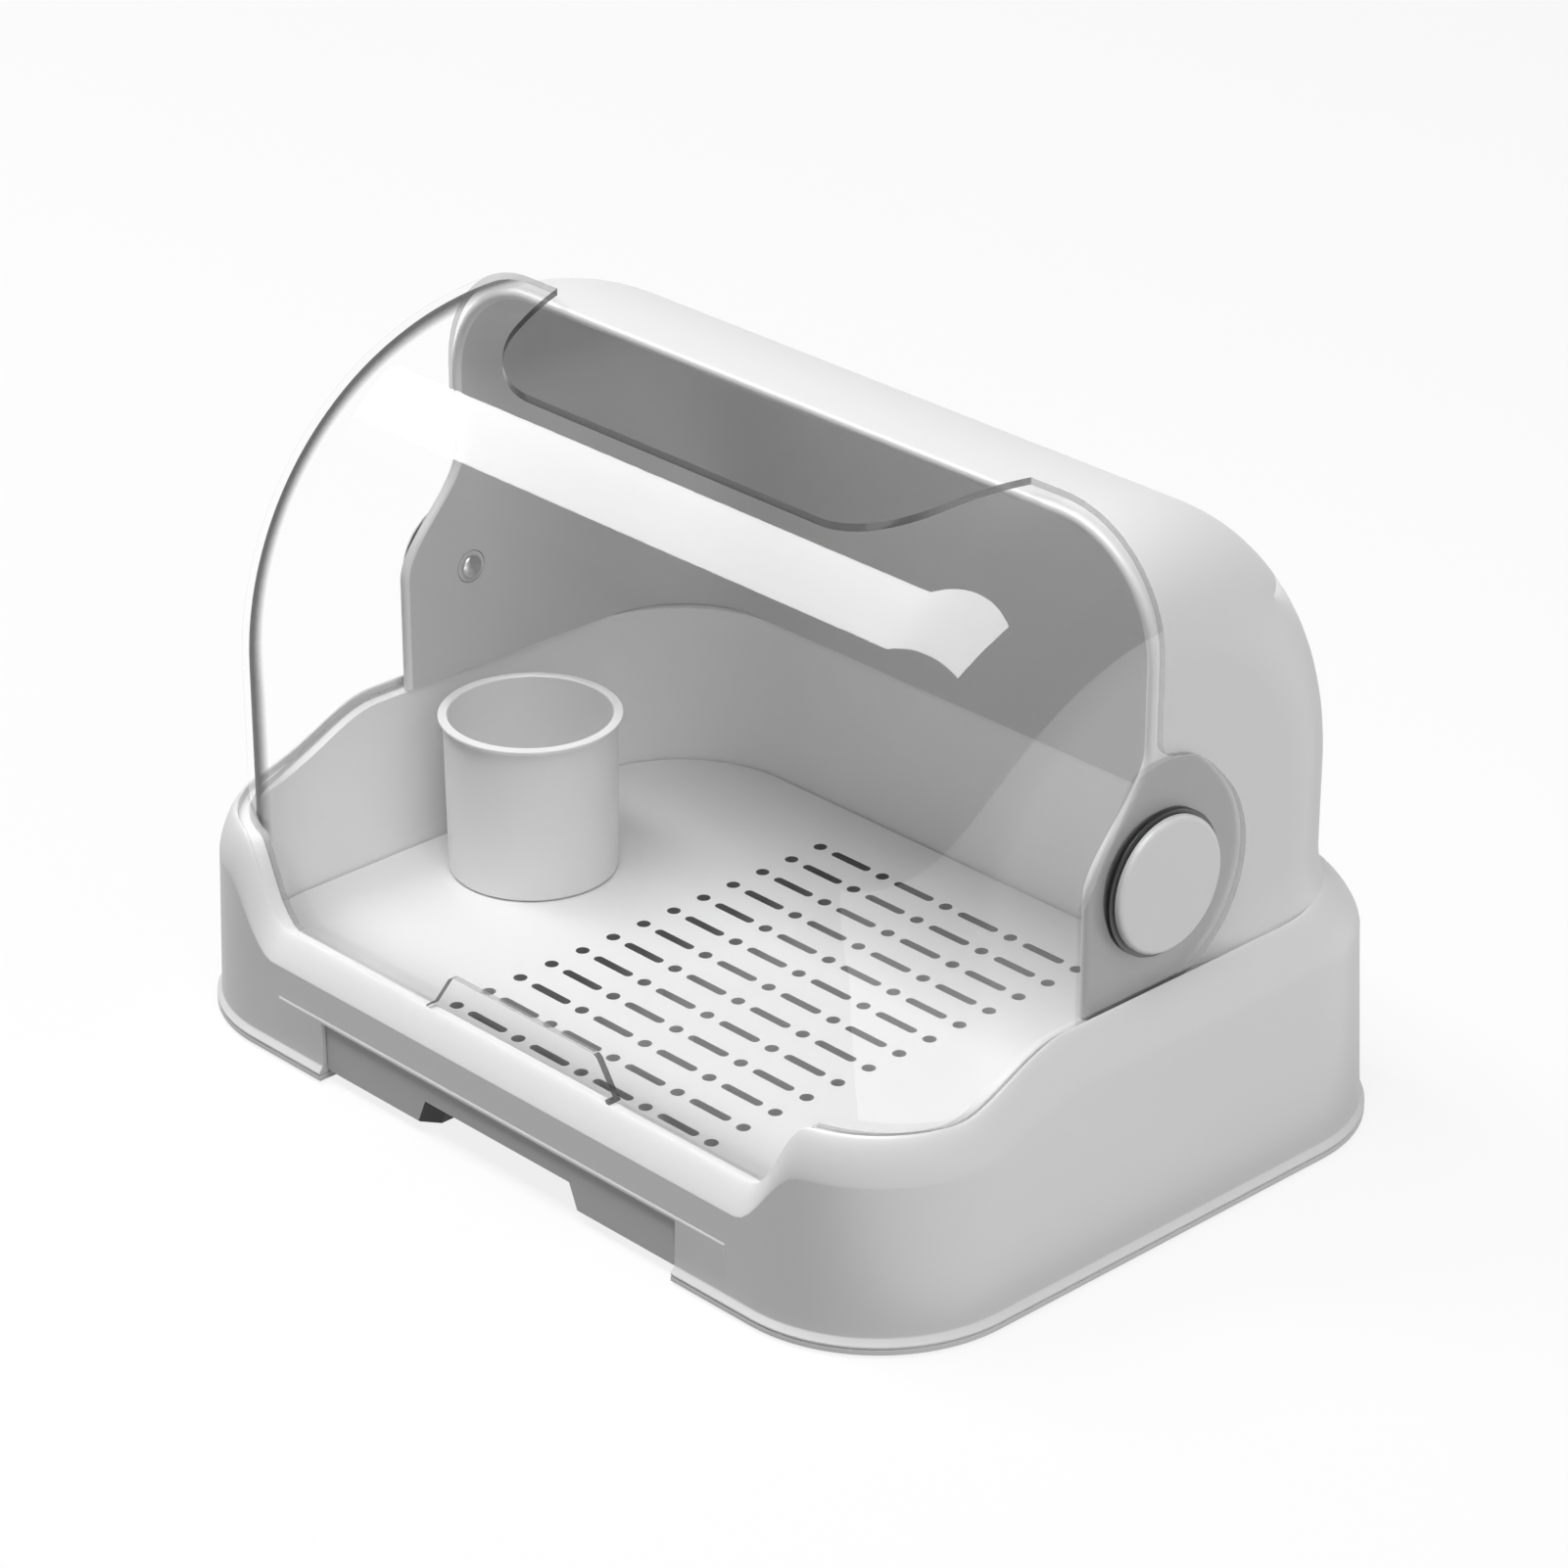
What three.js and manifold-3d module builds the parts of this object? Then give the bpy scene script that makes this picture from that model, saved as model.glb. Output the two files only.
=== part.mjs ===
// A drying box for baby bottles: a round-cornered base with a water drawer under its floor, a fixed half
// hood at the back, a clear lid that swings back over the hood, a lift-out floor with drain holes and a cup.
// Millimetres, +Z up, +X to the right, -Y to the front. The origin is the centre of the footprint on the
// plane that the feet stand on. Heights in this file are above the underside of the bottom plate.
import * as THREE from "three";
import { mergeVertices } from "three/addons/utils/BufferGeometryUtils.js";
import Module from "manifold-3d";

// Base shell: outer wall and the rim that dips at the front
const baseWidth = 364;
const baseDepth = 264;
const baseCornerRadius = 54;
const baseWall = 3;
const rimFrontHeight = 45;
const rimCornerHeight = 75;
const rimBackHeight = 91;
const dipHalfWidth = 118;
const dipClimb = 27;
const cornerClimbStart = 17;
const cornerClimb = 20;
const sideClimbStart = 40;
const sideClimb = 57;
const rimRoundInset = 7;
const rimRoundInsetBack = 17;
const rimRoundHeightShare = 0.21;
const rimRoundPowerShare = 1.45;
const backRoundShare = 0.6;

// Base shell: flare at the foot of the wall, which the bottom plate follows
const footFlare = 3;
const footFlareTop = 6;
const footFlareBottom = 3.2;

// Base shell: ledge inside the rim, inner wall and the seat of the floor
const ledgeDrop = 3;
const ledgeWidth = 7;
const ledgeWidthBack = 5;
const ledgeThickness = 2.5;
const innerWall = 2.5;
const innerCornerRadiusBack = 52;
const seatHeight = 22;
const seatWidth = 3;
const seatThickness = 2.5;

// Base shell: raised band round the drawer, and the bosses for the plate screws
const bandHalfWidth = 114;
const bandTop = 23.5;
const bandProud = 0.5;
const bossRadius = 6.5;
const bossInset = 7.5;
const bossTop = 36;

// Bottom plate, feet and screws
const plateThickness = 2.2;
const plateCutDepth = 24;
const footRadius = 9;
const footProud = 1;
const footPocket = 1;
const footInsetX = 49;
const footInsetY = 39;
const screwHeadRadius = 3.2;
const screwHeadHeight = 0.9;
const screwSunk = 0.2;
const screwRadius = 1.1;
const screwLength = 14;

// Water drawer, its finger recess and its rails
const drawerHalfWidth = 90;
const drawerBottom = 3.5;
const drawerPanelTop = 21.5;
const drawerPanelThickness = 2.4;
const drawerPanelRecess = 0.4;
const drawerBoxTop = 19;
const drawerBoxStep = 1.5;
const drawerWall = 2;
const drawerBackGap = 18;
const recessHalfWidthBottom = 41;
const recessHalfWidthTop = 37;
const recessTop = 13;
const recessDepth = 22;
const recessSide = 8;
const railThickness = 0.7;
const railStripWidth = 12;
const railSideThickness = 2.5;
const railSideTop = 14;
const railSetBack = 25;

// Floor with its grid of drain holes
const floorThickness = 3;
const floorEdgeGap = 0.5;
const holeRows = 13;
const holeRowBack = 83;
const holeRowFront = -92;
const dotColumns = 5;
const dotColumnSpan = 130;
const dotRadius = 2.5;
const dashLength = 19;
const dashWidth = 3.6;

// Cup
const cupSideGap = 9;
const cupY = -5;
const cupHeight = 61.5;
const cupRimRadius = 33.5;
const cupRimHeight = 2;
const cupRadiusTop = 31.8;
const cupRadiusBottom = 31.4;
const cupWall = 2;
const cupFloor = 2.5;
const cupEdge = 1;

// Hinge line of the lid: its place in the depth, and the height of the washers above the rim
const pivotY = 4;
const washerAboveRim = 12;

// Hood: a quarter-round shell, a little narrower towards the back. Its wall stands on the ledge by the
// seat, its roof turns down behind the roof's depth, and its ears end above the hinge line.
const hoodSeat = 3;
const hoodRoofDepth = 2.5;
const hoodCornerRadius = 42;
const hoodWall = 4;
const hoodTaperShare = 0.01;
const hoodEarReach = 27;
const hoodEarAbovePivot = 2.5;
const hoodFrontAbovePivot = 46.5;

// Clear lid: round about the hinge line, then straight down at the front
const lidSideInset = 8;
const lidFrontSeat = 1;
const lidWall = 2.5;
const lidCornerRadius = 45;
const lidRearEdge = 2;
const lidHubRadius = 40;
const lidHubRise = 3.5;
const lidHubRiseShares = [0.44, 0.89];
const lidNeckAbovePivot = 53.5;
const lidNeckRadius = 7;
const lidFlangeEndGap = 2;
const lidFlangeReach = 3.5;
const lidFlangeThickness = 1.8;
const ventHalfWidthRear = 114;
const ventHalfWidthFront = 95.6;
const ventFront = 49.5;
const ventCornerRadius = 36;
const gripHalfWidthBottom = 46.5;
const gripHalfWidthTop = 37;
const gripTop = 56.5;
const gripCornerRadius = 4;

// Hinge pieces, outward from the inside of the hood's ear
const pinRadius = 3;
const pinHeadRadius = 4.6;
const pinHeadHeight = 1.6;
const bushWall = 2.7;
const washerRadius = 25.5;
const washerThickness = 1;
const capRadius = 23.8;
const capThickness = 2.9;
const capBevel = 1.2;
const capSocketDepth = 1.5;

// Clearances: between pieces at rest, between sliding pieces, under the lid, between the lid and the hood
// at the sides and over the roof, and how far a cutting tool overruns
const seatGap = 0.3;
const slideGap = 0.5;
const lidGap = 0.4;
const lidSideGap = 0.5;
const lidSwingGap = 3;
const toolOverrun = 6;

// Fineness of the round stretches
const baseCornerSteps = 9;
const bodyCornerSteps = 6;
const bodyArcSteps = 18;
const roundSides = 24;
const largeRoundSides = 44;
const dotSides = 8;
const curveSteps = 10;
const frontStationShares = [0.92, 0.95, 0.975];
const sideStationShares = [0.07, 0.14, 0.21, 0.28];
const weldTolerance = 1e-4;

// Sizes that follow from the ones above
const baseHalfWidth = baseWidth / 2;
const baseHalfDepth = baseDepth / 2;
const baseUnderside = plateThickness + seatGap;
const ledgeHalfWidth = baseHalfWidth - rimRoundInset - ledgeWidth;
const ledgeFront = baseHalfDepth - rimRoundInset - ledgeWidth;
const ledgeBack = baseHalfDepth - rimRoundInsetBack - ledgeWidthBack;
const ledgeRadius = baseCornerRadius - rimRoundInset - ledgeWidth;
const floorUnderside = seatHeight + seatGap;
const floorTop = floorUnderside + floorThickness;
const cupX = cupRimRadius + cupSideGap - ledgeHalfWidth;
const pivotHeight = rimBackHeight + washerAboveRim + washerRadius;
const lidHalfWidth = baseHalfWidth - lidSideInset;
const lidInnerHalfWidth = lidHalfWidth - lidWall;
const lidRadius = pivotY + ledgeFront + lidFrontSeat;
const lidNeckHeight = pivotHeight + lidNeckAbovePivot;
const lidFlangeHalfWidth = dipHalfWidth - lidFlangeEndGap;
const hoodHalfWidth = lidInnerHalfWidth - lidSideGap;
const hoodTopHeight = pivotHeight + lidRadius - lidWall - lidSwingGap;
const hoodBack = ledgeBack + hoodSeat;
const hoodCentreY = hoodRoofDepth;
const hoodRadius = hoodBack - hoodCentreY;
const hoodCentreHeight = hoodTopHeight - hoodRadius;
const hoodEarTop = pivotHeight + hoodEarAbovePivot;
const hoodFrontFoot = pivotHeight + hoodFrontAbovePivot;
const bushRadius = pinRadius + seatGap + bushWall;
const boreRadius = bushRadius + seatGap;

const wasm = await Module();
wasm.setup();

// A smooth climb from 0 to 1 while the value goes from the start over the given length
function climb(value, start, length) {
  return THREE.MathUtils.smoothstep(value, start, start + length);
}

// A closed geometry as a solid that can be joined and cut
function solid(geometry) {
  geometry.deleteAttribute("normal");
  geometry.deleteAttribute("uv");
  const merged = mergeVertices(geometry, weldTolerance);
  const source = merged.index.array;
  const corners = [];
  for (let i = 0; i < source.length; i += 3) {
    const [a, b, c] = [source[i], source[i + 1], source[i + 2]];
    if (a !== b && b !== c && c !== a) {
      corners.push(a, b, c);
    }
  }
  return new wasm.Manifold(new wasm.Mesh({
    numProp: 3,
    vertProperties: new Float32Array(merged.attributes.position.array),
    triVerts: new Uint32Array(corners),
  }));
}

// The geometry of a solid after its cuts
function surface(body) {
  const mesh = body.getMesh();
  const geometry = new THREE.BufferGeometry();
  geometry.setAttribute("position", new THREE.BufferAttribute(mesh.vertProperties, 3));
  geometry.setIndex(new THREE.BufferAttribute(mesh.triVerts, 1));
  geometry.computeVertexNormals();
  return geometry;
}

// Rings of points with equal counts, joined side by side. Caps close the first and last ring, or else the
// last ring joins the first.
function loft(rings, capPairs) {
  const count = rings[0].length;
  const positions = rings.flat().flatMap((point) => [point.x, point.y, point.z]);
  const index = [];
  const last = capPairs ? rings.length - 1 : rings.length;
  for (let r = 0; r < last; r += 1) {
    const here = r * count;
    const there = ((r + 1) % rings.length) * count;
    for (let i = 0; i < count; i += 1) {
      const j = (i + 1) % count;
      index.push(here + i, here + j, there + j);
      index.push(here + i, there + j, there + i);
    }
  }
  if (capPairs) {
    const end = (rings.length - 1) * count;
    for (const [a, b, c, d] of capPairs) {
      index.push(a, b, c, a, c, d);
      index.push(end + c, end + b, end + a, end + d, end + c, end + a);
    }
  }
  const geometry = new THREE.BufferGeometry();
  geometry.setAttribute("position", new THREE.Float32BufferAttribute(positions, 3));
  geometry.setIndex(index);
  return geometry;
}

// A box between two corners
function block(x0, x1, y0, y1, z0, z1) {
  const box = new THREE.BoxGeometry(x1 - x0, y1 - y0, z1 - z0);
  return box.translate((x0 + x1) / 2, (y0 + y1) / 2, (z0 + z1) / 2);
}

// An outline extruded straight up from its own plane
function prism(outline, depth) {
  return new THREE.ExtrudeGeometry(outline, { depth, bevelEnabled: false, curveSegments: curveSteps });
}

// An outline drawn in Y and Z, extruded along X
function prismAlongX(outline, x0, x1) {
  const axes = [new THREE.Vector3(0, 1, 0), new THREE.Vector3(0, 0, 1), new THREE.Vector3(1, 0, 0)];
  return prism(outline, x1 - x0).applyMatrix4(new THREE.Matrix4().makeBasis(...axes)).translate(x0, 0, 0);
}

// An outline drawn in X and Z, extruded along Y
function prismAlongY(outline, y0, y1) {
  return prism(outline, y1 - y0).rotateX(Math.PI / 2).translate(0, y1, 0);
}

// An outline drawn in X and Y, extruded along Z
function prismAlongZ(outline, z0, z1) {
  return prism(outline, z1 - z0).translate(0, 0, z0);
}

// A turned piece about Z from a closed profile of radius and height
function turned(profile, sides) {
  const points = profile.map(([radius, height]) => new THREE.Vector2(radius, height));
  return new THREE.LatheGeometry(points, sides).rotateX(Math.PI / 2);
}

// A turned piece about X, its profile given as radius and distance along X
function turnedAlongX(profile, sides) {
  return turned(profile, sides).rotateY(Math.PI / 2);
}

function roundBar(radius, z0, z1, sides) {
  return turned([[0, z0], [radius, z0], [radius, z1], [0, z1]], sides);
}

function roundBarAlongX(radius, x0, x1, sides) {
  return turnedAlongX([[0, x0], [radius, x0], [radius, x1], [0, x1]], sides);
}

// An outline with chosen corners rounded, each corner given as x, y and radius
function roundedOutline(corners) {
  const outline = new THREE.Shape();
  corners.forEach(([x, y, radius], i) => {
    const corner = new THREE.Vector2(x, y);
    const [px, py] = corners[(i + corners.length - 1) % corners.length];
    const [nx, ny] = corners[(i + 1) % corners.length];
    const back = new THREE.Vector2(px, py).sub(corner).normalize();
    const ahead = new THREE.Vector2(nx, ny).sub(corner).normalize();
    const half = Math.acos(THREE.MathUtils.clamp(back.dot(ahead), -1, 1)) / 2;
    const reach = radius / Math.tan(half);
    const start = corner.clone().addScaledVector(back, reach);
    const end = corner.clone().addScaledVector(ahead, reach);
    if (i === 0) {
      outline.moveTo(start.x, start.y);
    } else {
      outline.lineTo(start.x, start.y);
    }
    if (radius > 0) {
      const middle = back.add(ahead).normalize().multiplyScalar(radius / Math.sin(half)).add(corner);
      const from = start.sub(middle).angle();
      const to = end.sub(middle).angle();
      const turn = THREE.MathUtils.euclideanModulo(to - from, 2 * Math.PI);
      outline.absarc(middle.x, middle.y, radius, from, to, turn > Math.PI);
    }
  });
  return outline;
}

// One loop round the box with rounded corners: half width, distances to front and back, and the corner
// radius at the front and at the back
function planLoop(halfWidth, front, back, radius, radiusBack) {
  const right = [new THREE.Vector2(0, -front)];
  const straight = halfWidth - radius;
  const straightBack = halfWidth - radiusBack;
  for (const share of frontStationShares) {
    right.push(new THREE.Vector2(straight * share, -front));
  }
  for (let i = 0; i <= baseCornerSteps; i += 1) {
    const angle = (i / baseCornerSteps) * Math.PI / 2;
    const x = straight + radius * Math.sin(angle);
    right.push(new THREE.Vector2(x, radius - front - radius * Math.cos(angle)));
  }
  const sideLength = front + back - radius - radiusBack;
  for (const share of sideStationShares) {
    right.push(new THREE.Vector2(halfWidth, radius - front + sideLength * share));
  }
  for (let i = 0; i <= baseCornerSteps; i += 1) {
    const angle = (i / baseCornerSteps) * Math.PI / 2;
    const x = straightBack + radiusBack * Math.cos(angle);
    right.push(new THREE.Vector2(x, back - radiusBack + radiusBack * Math.sin(angle)));
  }
  const left = right.slice(1).reverse().map((point) => new THREE.Vector2(-point.x, point.y));
  return [...right, ...left];
}

// Height of the rim's crest above a point of the outer wall
function rimHeight(point) {
  const fromFront = point.y + baseHalfDepth;
  const atCorner = Math.max(
    climb(Math.abs(point.x), dipHalfWidth, dipClimb),
    climb(fromFront, cornerClimbStart, cornerClimb),
  );
  const alongSide = climb(fromFront, sideClimbStart, sideClimb);
  const corner = (rimCornerHeight - rimFrontHeight) * atCorner;
  const side = (rimBackHeight - rimCornerHeight) * alongSide;
  return rimFrontHeight + corner + side;
}

const outerLoop = insetLoop(0, 0);
const rimHeights = outerLoop.map(rimHeight);

// A loop of the base shell, its height taken from the crest above each station
function baseRing(loop, heightOf) {
  return loop.map((point, i) => new THREE.Vector3(point.x, point.y, heightOf(rimHeights[i])));
}

// A loop at a given inset from the outer wall. The inset at the back has its own value.
function insetLoop(inset, insetBack) {
  const radius = baseCornerRadius - inset;
  const radiusBack = radius + backRoundShare * (insetBack - inset);
  const front = baseHalfDepth - inset;
  return planLoop(baseHalfWidth - inset, front, baseHalfDepth - insetBack, radius, radiusBack);
}

// A loop at a given distance outside the inner wall's face
function innerLoop(outside) {
  const radius = ledgeRadius + outside;
  const radiusBack = innerCornerRadiusBack + outside;
  return planLoop(ledgeHalfWidth + outside, ledgeFront + outside, ledgeBack + outside, radius, radiusBack);
}

// The section runs up the flare and the outer wall, over the rounded rim, down to the ledge and the
// floor's seat, and back through the hollow inside, which is open at the bottom.
function baseBody() {
  const roundHeight = (crest) => crest * rimRoundHeightShare;
  const flareLoop = insetLoop(-footFlare, -footFlare);
  const rings = [baseRing(flareLoop, () => baseUnderside)];
  rings.push(baseRing(flareLoop, () => footFlareBottom));
  rings.push(baseRing(outerLoop, () => footFlareTop));
  const roundSteps = 5;
  for (let i = 0; i <= roundSteps; i += 1) {
    const angle = (i / roundSteps) * Math.PI / 2;
    const share = 1 - Math.max(0, Math.cos(angle)) ** rimRoundPowerShare;
    const drop = 1 - Math.sin(angle) ** rimRoundPowerShare;
    const loop = insetLoop(rimRoundInset * share, rimRoundInsetBack * share);
    rings.push(baseRing(loop, (crest) => crest - roundHeight(crest) * drop));
  }
  const ledgeOuter = insetLoop(rimRoundInset, rimRoundInsetBack);
  const wallOutside = innerLoop(innerWall);
  const shellInside = insetLoop(baseWall, baseWall);
  rings.push(baseRing(ledgeOuter, (crest) => crest - ledgeDrop));
  rings.push(baseRing(innerLoop(0), (crest) => crest - ledgeDrop));
  rings.push(baseRing(innerLoop(0), () => seatHeight));
  rings.push(baseRing(innerLoop(-seatWidth), () => seatHeight));
  rings.push(baseRing(innerLoop(-seatWidth), () => seatHeight - seatThickness));
  rings.push(baseRing(wallOutside, () => seatHeight - seatThickness));
  rings.push(baseRing(wallOutside, (crest) => crest - ledgeDrop - ledgeThickness));
  rings.push(baseRing(shellInside, (crest) => crest - roundHeight(crest) - baseWall));
  rings.push(baseRing(shellInside, () => baseUnderside));
  return solid(loft(rings, null));
}

// Places of the four screws, in the round corners of the base
function screwPlaces() {
  const reach = (baseCornerRadius - bossInset) * Math.SQRT1_2;
  const x = baseHalfWidth - baseCornerRadius + reach;
  const y = baseHalfDepth - baseCornerRadius + reach;
  return [["front_left", -x, -y], ["front_right", x, -y], ["back_left", -x, y], ["back_right", x, y]];
}

function baseShell() {
  const bandFront = -baseHalfDepth - bandProud;
  const insideWall = baseWall / 2 - baseHalfDepth;
  const openingHalf = drawerHalfWidth + slideGap;
  const openingTop = drawerPanelTop + slideGap;
  const past = baseHalfDepth + toolOverrun;
  let body = baseBody();
  body = body.add(solid(block(-bandHalfWidth, bandHalfWidth, bandFront, insideWall, baseUnderside, bandTop)));
  for (const [, x, y] of screwPlaces()) {
    body = body.add(solid(roundBar(bossRadius, baseUnderside, bossTop, roundSides).translate(x, y, 0)));
  }
  for (const [, x, y] of screwPlaces()) {
    const pilot = roundBar(screwRadius + seatGap, 0, screwLength + toolOverrun, roundSides);
    body = body.subtract(solid(pilot.translate(x, y, 0)));
  }
  const openingBack = baseWall + seatGap - baseHalfDepth;
  return surface(body.subtract(solid(block(-openingHalf, openingHalf, -past, openingBack, 0, openingTop))));
}

// Places of the four feet
function footPlaces() {
  const x = baseHalfWidth - footInsetX;
  const y = baseHalfDepth - footInsetY;
  return [["front_left", -x, -y], ["front_right", x, -y], ["back_left", -x, y], ["back_right", x, y]];
}

function bottomPlate() {
  const halfWidth = baseHalfWidth + footFlare;
  const halfDepth = baseHalfDepth + footFlare;
  const radius = baseCornerRadius + footFlare;
  const outline = roundedOutline([
    [halfWidth, -halfDepth, radius],
    [halfWidth, halfDepth, radius],
    [-halfWidth, halfDepth, radius],
    [-halfWidth, -halfDepth, radius],
  ]);
  let body = solid(prismAlongZ(outline, 0, plateThickness));
  const cutHalf = drawerHalfWidth + slideGap;
  const cutFront = -halfDepth - toolOverrun;
  const cutTop = plateThickness + toolOverrun;
  const cutBack = plateCutDepth - halfDepth;
  body = body.subtract(solid(block(-cutHalf, cutHalf, cutFront, cutBack, -toolOverrun, cutTop)));
  for (const [, x, y] of screwPlaces()) {
    const hole = roundBar(screwRadius + seatGap, -toolOverrun, cutTop, roundSides);
    const sinkTop = screwSunk + screwHeadHeight + seatGap;
    const sink = roundBar(screwHeadRadius + seatGap, -toolOverrun, sinkTop, roundSides);
    body = body.subtract(solid(hole.translate(x, y, 0))).subtract(solid(sink.translate(x, y, 0)));
  }
  for (const [, x, y] of footPlaces()) {
    const pocket = roundBar(footRadius + seatGap, -toolOverrun, footPocket, roundSides);
    body = body.subtract(solid(pocket.translate(x, y, 0)));
  }
  return surface(body);
}

// A rubber foot, standing proud of the plate and held in its pocket
function foot() {
  return roundBar(footRadius, -footProud, footPocket - seatGap, roundSides);
}

function plateScrew() {
  const head = screwSunk + screwHeadHeight;
  return turned([
    [0, screwSunk],
    [screwHeadRadius, screwSunk],
    [screwHeadRadius, head],
    [screwRadius, head],
    [screwRadius, screwLength],
    [0, screwLength],
  ], roundSides);
}

// The finger recess under the drawer's front, its outline grown at the sides and above
function recessPrism(side, above, front, back) {
  const outline = new THREE.Shape();
  const bottom = drawerBottom - toolOverrun;
  outline.moveTo(-recessHalfWidthBottom - side, bottom);
  outline.lineTo(recessHalfWidthBottom + side, bottom);
  outline.lineTo(recessHalfWidthBottom + side, drawerBottom);
  outline.lineTo(recessHalfWidthTop + side, recessTop + above);
  outline.lineTo(-recessHalfWidthTop - side, recessTop + above);
  outline.lineTo(-recessHalfWidthBottom - side, drawerBottom);
  return solid(prismAlongY(outline, front, back));
}

function waterDrawer() {
  const panelFront = drawerPanelRecess - baseHalfDepth;
  const panelBack = panelFront + drawerPanelThickness;
  const boxHalf = drawerHalfWidth - drawerBoxStep;
  const boxBack = ledgeBack - drawerBackGap;
  const recessBack = panelFront + recessDepth;
  const innerHalf = boxHalf - drawerWall;
  const cavityTop = drawerBoxTop + toolOverrun;
  const panel = block(-drawerHalfWidth, drawerHalfWidth, panelFront, panelBack, drawerBottom, drawerPanelTop);
  const box = solid(block(-boxHalf, boxHalf, panelFront, boxBack, drawerBottom, drawerBoxTop));
  const cavityFloor = drawerBottom + drawerWall;
  const cavity = block(-innerHalf, innerHalf, panelBack, boxBack - drawerWall, cavityFloor, cavityTop);
  const past = -baseHalfDepth - toolOverrun;
  const hump = recessPrism(recessSide + drawerWall, drawerWall, past, recessBack + drawerWall).intersect(box);
  const body = box.subtract(solid(cavity)).add(hump).add(solid(panel));
  const opening = recessPrism(0, 0, past, recessBack);
  return surface(body.subtract(opening).subtract(recessPrism(recessSide, 0, panelBack, recessBack)));
}

// The right rail: a strip under the drawer's edge and a low wall beside it
function drawerRail() {
  const boxHalf = drawerHalfWidth - drawerBoxStep;
  const inner = boxHalf - railStripWidth;
  const wallInside = boxHalf + slideGap;
  const wallOutside = wallInside + railSideThickness;
  const front = railSetBack - baseHalfDepth;
  const back = ledgeBack - drawerBackGap;
  const stripTop = baseUnderside + railThickness;
  const strip = solid(block(inner, wallOutside, front, back, baseUnderside, stripTop));
  const side = solid(block(wallInside, wallOutside, front, back, baseUnderside, railSideTop));
  return surface(strip.add(side));
}

// Drain holes: rows of dots with dashes between them
function addDrainHoles(outline) {
  const columnPitch = dotColumnSpan / (dotColumns - 1);
  for (let row = 0; row < holeRows; row += 1) {
    const y = THREE.MathUtils.lerp(holeRowBack, holeRowFront, row / (holeRows - 1));
    for (let column = 0; column < dotColumns; column += 1) {
      const x = columnPitch * column - dotColumnSpan / 2;
      const dot = new THREE.Path();
      for (let i = 0; i < dotSides; i += 1) {
        const angle = (i / dotSides) * 2 * Math.PI;
        const place = [x + dotRadius * Math.cos(angle), y + dotRadius * Math.sin(angle)];
        if (i === 0) {
          dot.moveTo(...place);
        } else {
          dot.lineTo(...place);
        }
      }
      outline.holes.push(dot);
      if (column < dotColumns - 1) {
        outline.holes.push(dashHole(x + columnPitch / 2, y));
      }
    }
  }
}

// One dash: a slot with its corners cut off
function dashHole(x, y) {
  const half = dashLength / 2;
  const side = dashWidth / 2;
  const bevel = side / 2;
  const dash = new THREE.Path();
  dash.moveTo(x - half, y - side + bevel);
  dash.lineTo(x - half + bevel, y - side);
  dash.lineTo(x + half - bevel, y - side);
  dash.lineTo(x + half, y - side + bevel);
  dash.lineTo(x + half, y + side - bevel);
  dash.lineTo(x + half - bevel, y + side);
  dash.lineTo(x - half + bevel, y + side);
  dash.lineTo(x - half, y + side - bevel);
  return dash;
}

function drainTray() {
  const half = ledgeHalfWidth - floorEdgeGap;
  const front = floorEdgeGap - ledgeFront;
  const back = ledgeBack - floorEdgeGap;
  const radius = ledgeRadius - floorEdgeGap;
  const radiusBack = innerCornerRadiusBack - floorEdgeGap;
  const outline = roundedOutline([
    [half, front, radius],
    [half, back, radiusBack],
    [-half, back, radiusBack],
    [-half, front, radius],
  ]);
  addDrainHoles(outline);
  return prismAlongZ(outline, floorUnderside, floorTop);
}

function cup() {
  const innerBottom = cupRadiusBottom - cupWall;
  const innerTop = cupRadiusTop - cupWall;
  return turned([
    [0, 0],
    [cupRadiusBottom - cupEdge, 0],
    [cupRadiusBottom, cupEdge],
    [cupRadiusTop, cupHeight - cupRimHeight],
    [cupRimRadius, cupHeight - cupRimHeight],
    [cupRimRadius, cupHeight - cupEdge / 2],
    [cupRimRadius - cupEdge / 2, cupHeight],
    [innerTop + cupEdge / 2, cupHeight],
    [innerTop, cupHeight - cupEdge / 2],
    [innerBottom, cupFloor + cupEdge],
    [innerBottom - cupEdge, cupFloor],
    [0, cupFloor],
  ], largeRoundSides);
}

// A filled body, rounded along both sides. The chain gives the top from front to back at an inset, in Y and
// Z; the body reaches straight down from it to the bottom.
function roundedBody(halfWidth, cornerRadius, chain, bottom) {
  const slices = [];
  for (const side of [1, -1]) {
    for (let i = 0; i <= bodyCornerSteps; i += 1) {
      const step = side > 0 ? bodyCornerSteps - i : i;
      const angle = (step / bodyCornerSteps) * Math.PI / 2;
      const x = side * (halfWidth - cornerRadius * (1 - Math.sin(angle)));
      const top = chain(cornerRadius * (1 - Math.cos(angle)));
      const above = top.map(([y, z]) => new THREE.Vector3(x, y, z));
      const below = top.map(([y]) => new THREE.Vector3(x, y, bottom)).reverse();
      slices.push([...above, ...below]);
    }
  }
  const count = slices[0].length;
  const caps = [];
  for (let i = 0; i < count / 2 - 1; i += 1) {
    caps.push([i, count - 1 - i, count - 2 - i, i + 1]);
  }
  return { slices, caps };
}

// Solid of a rounded body, its sides drawn in towards the back by a share of the depth behind the origin
function roundedSolid(body, taperShare, taperDepth) {
  for (const point of body.slices.flat()) {
    point.x *= 1 - taperShare * Math.max(0, point.y) / taperDepth;
  }
  return solid(loft(body.slices, body.caps));
}

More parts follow.
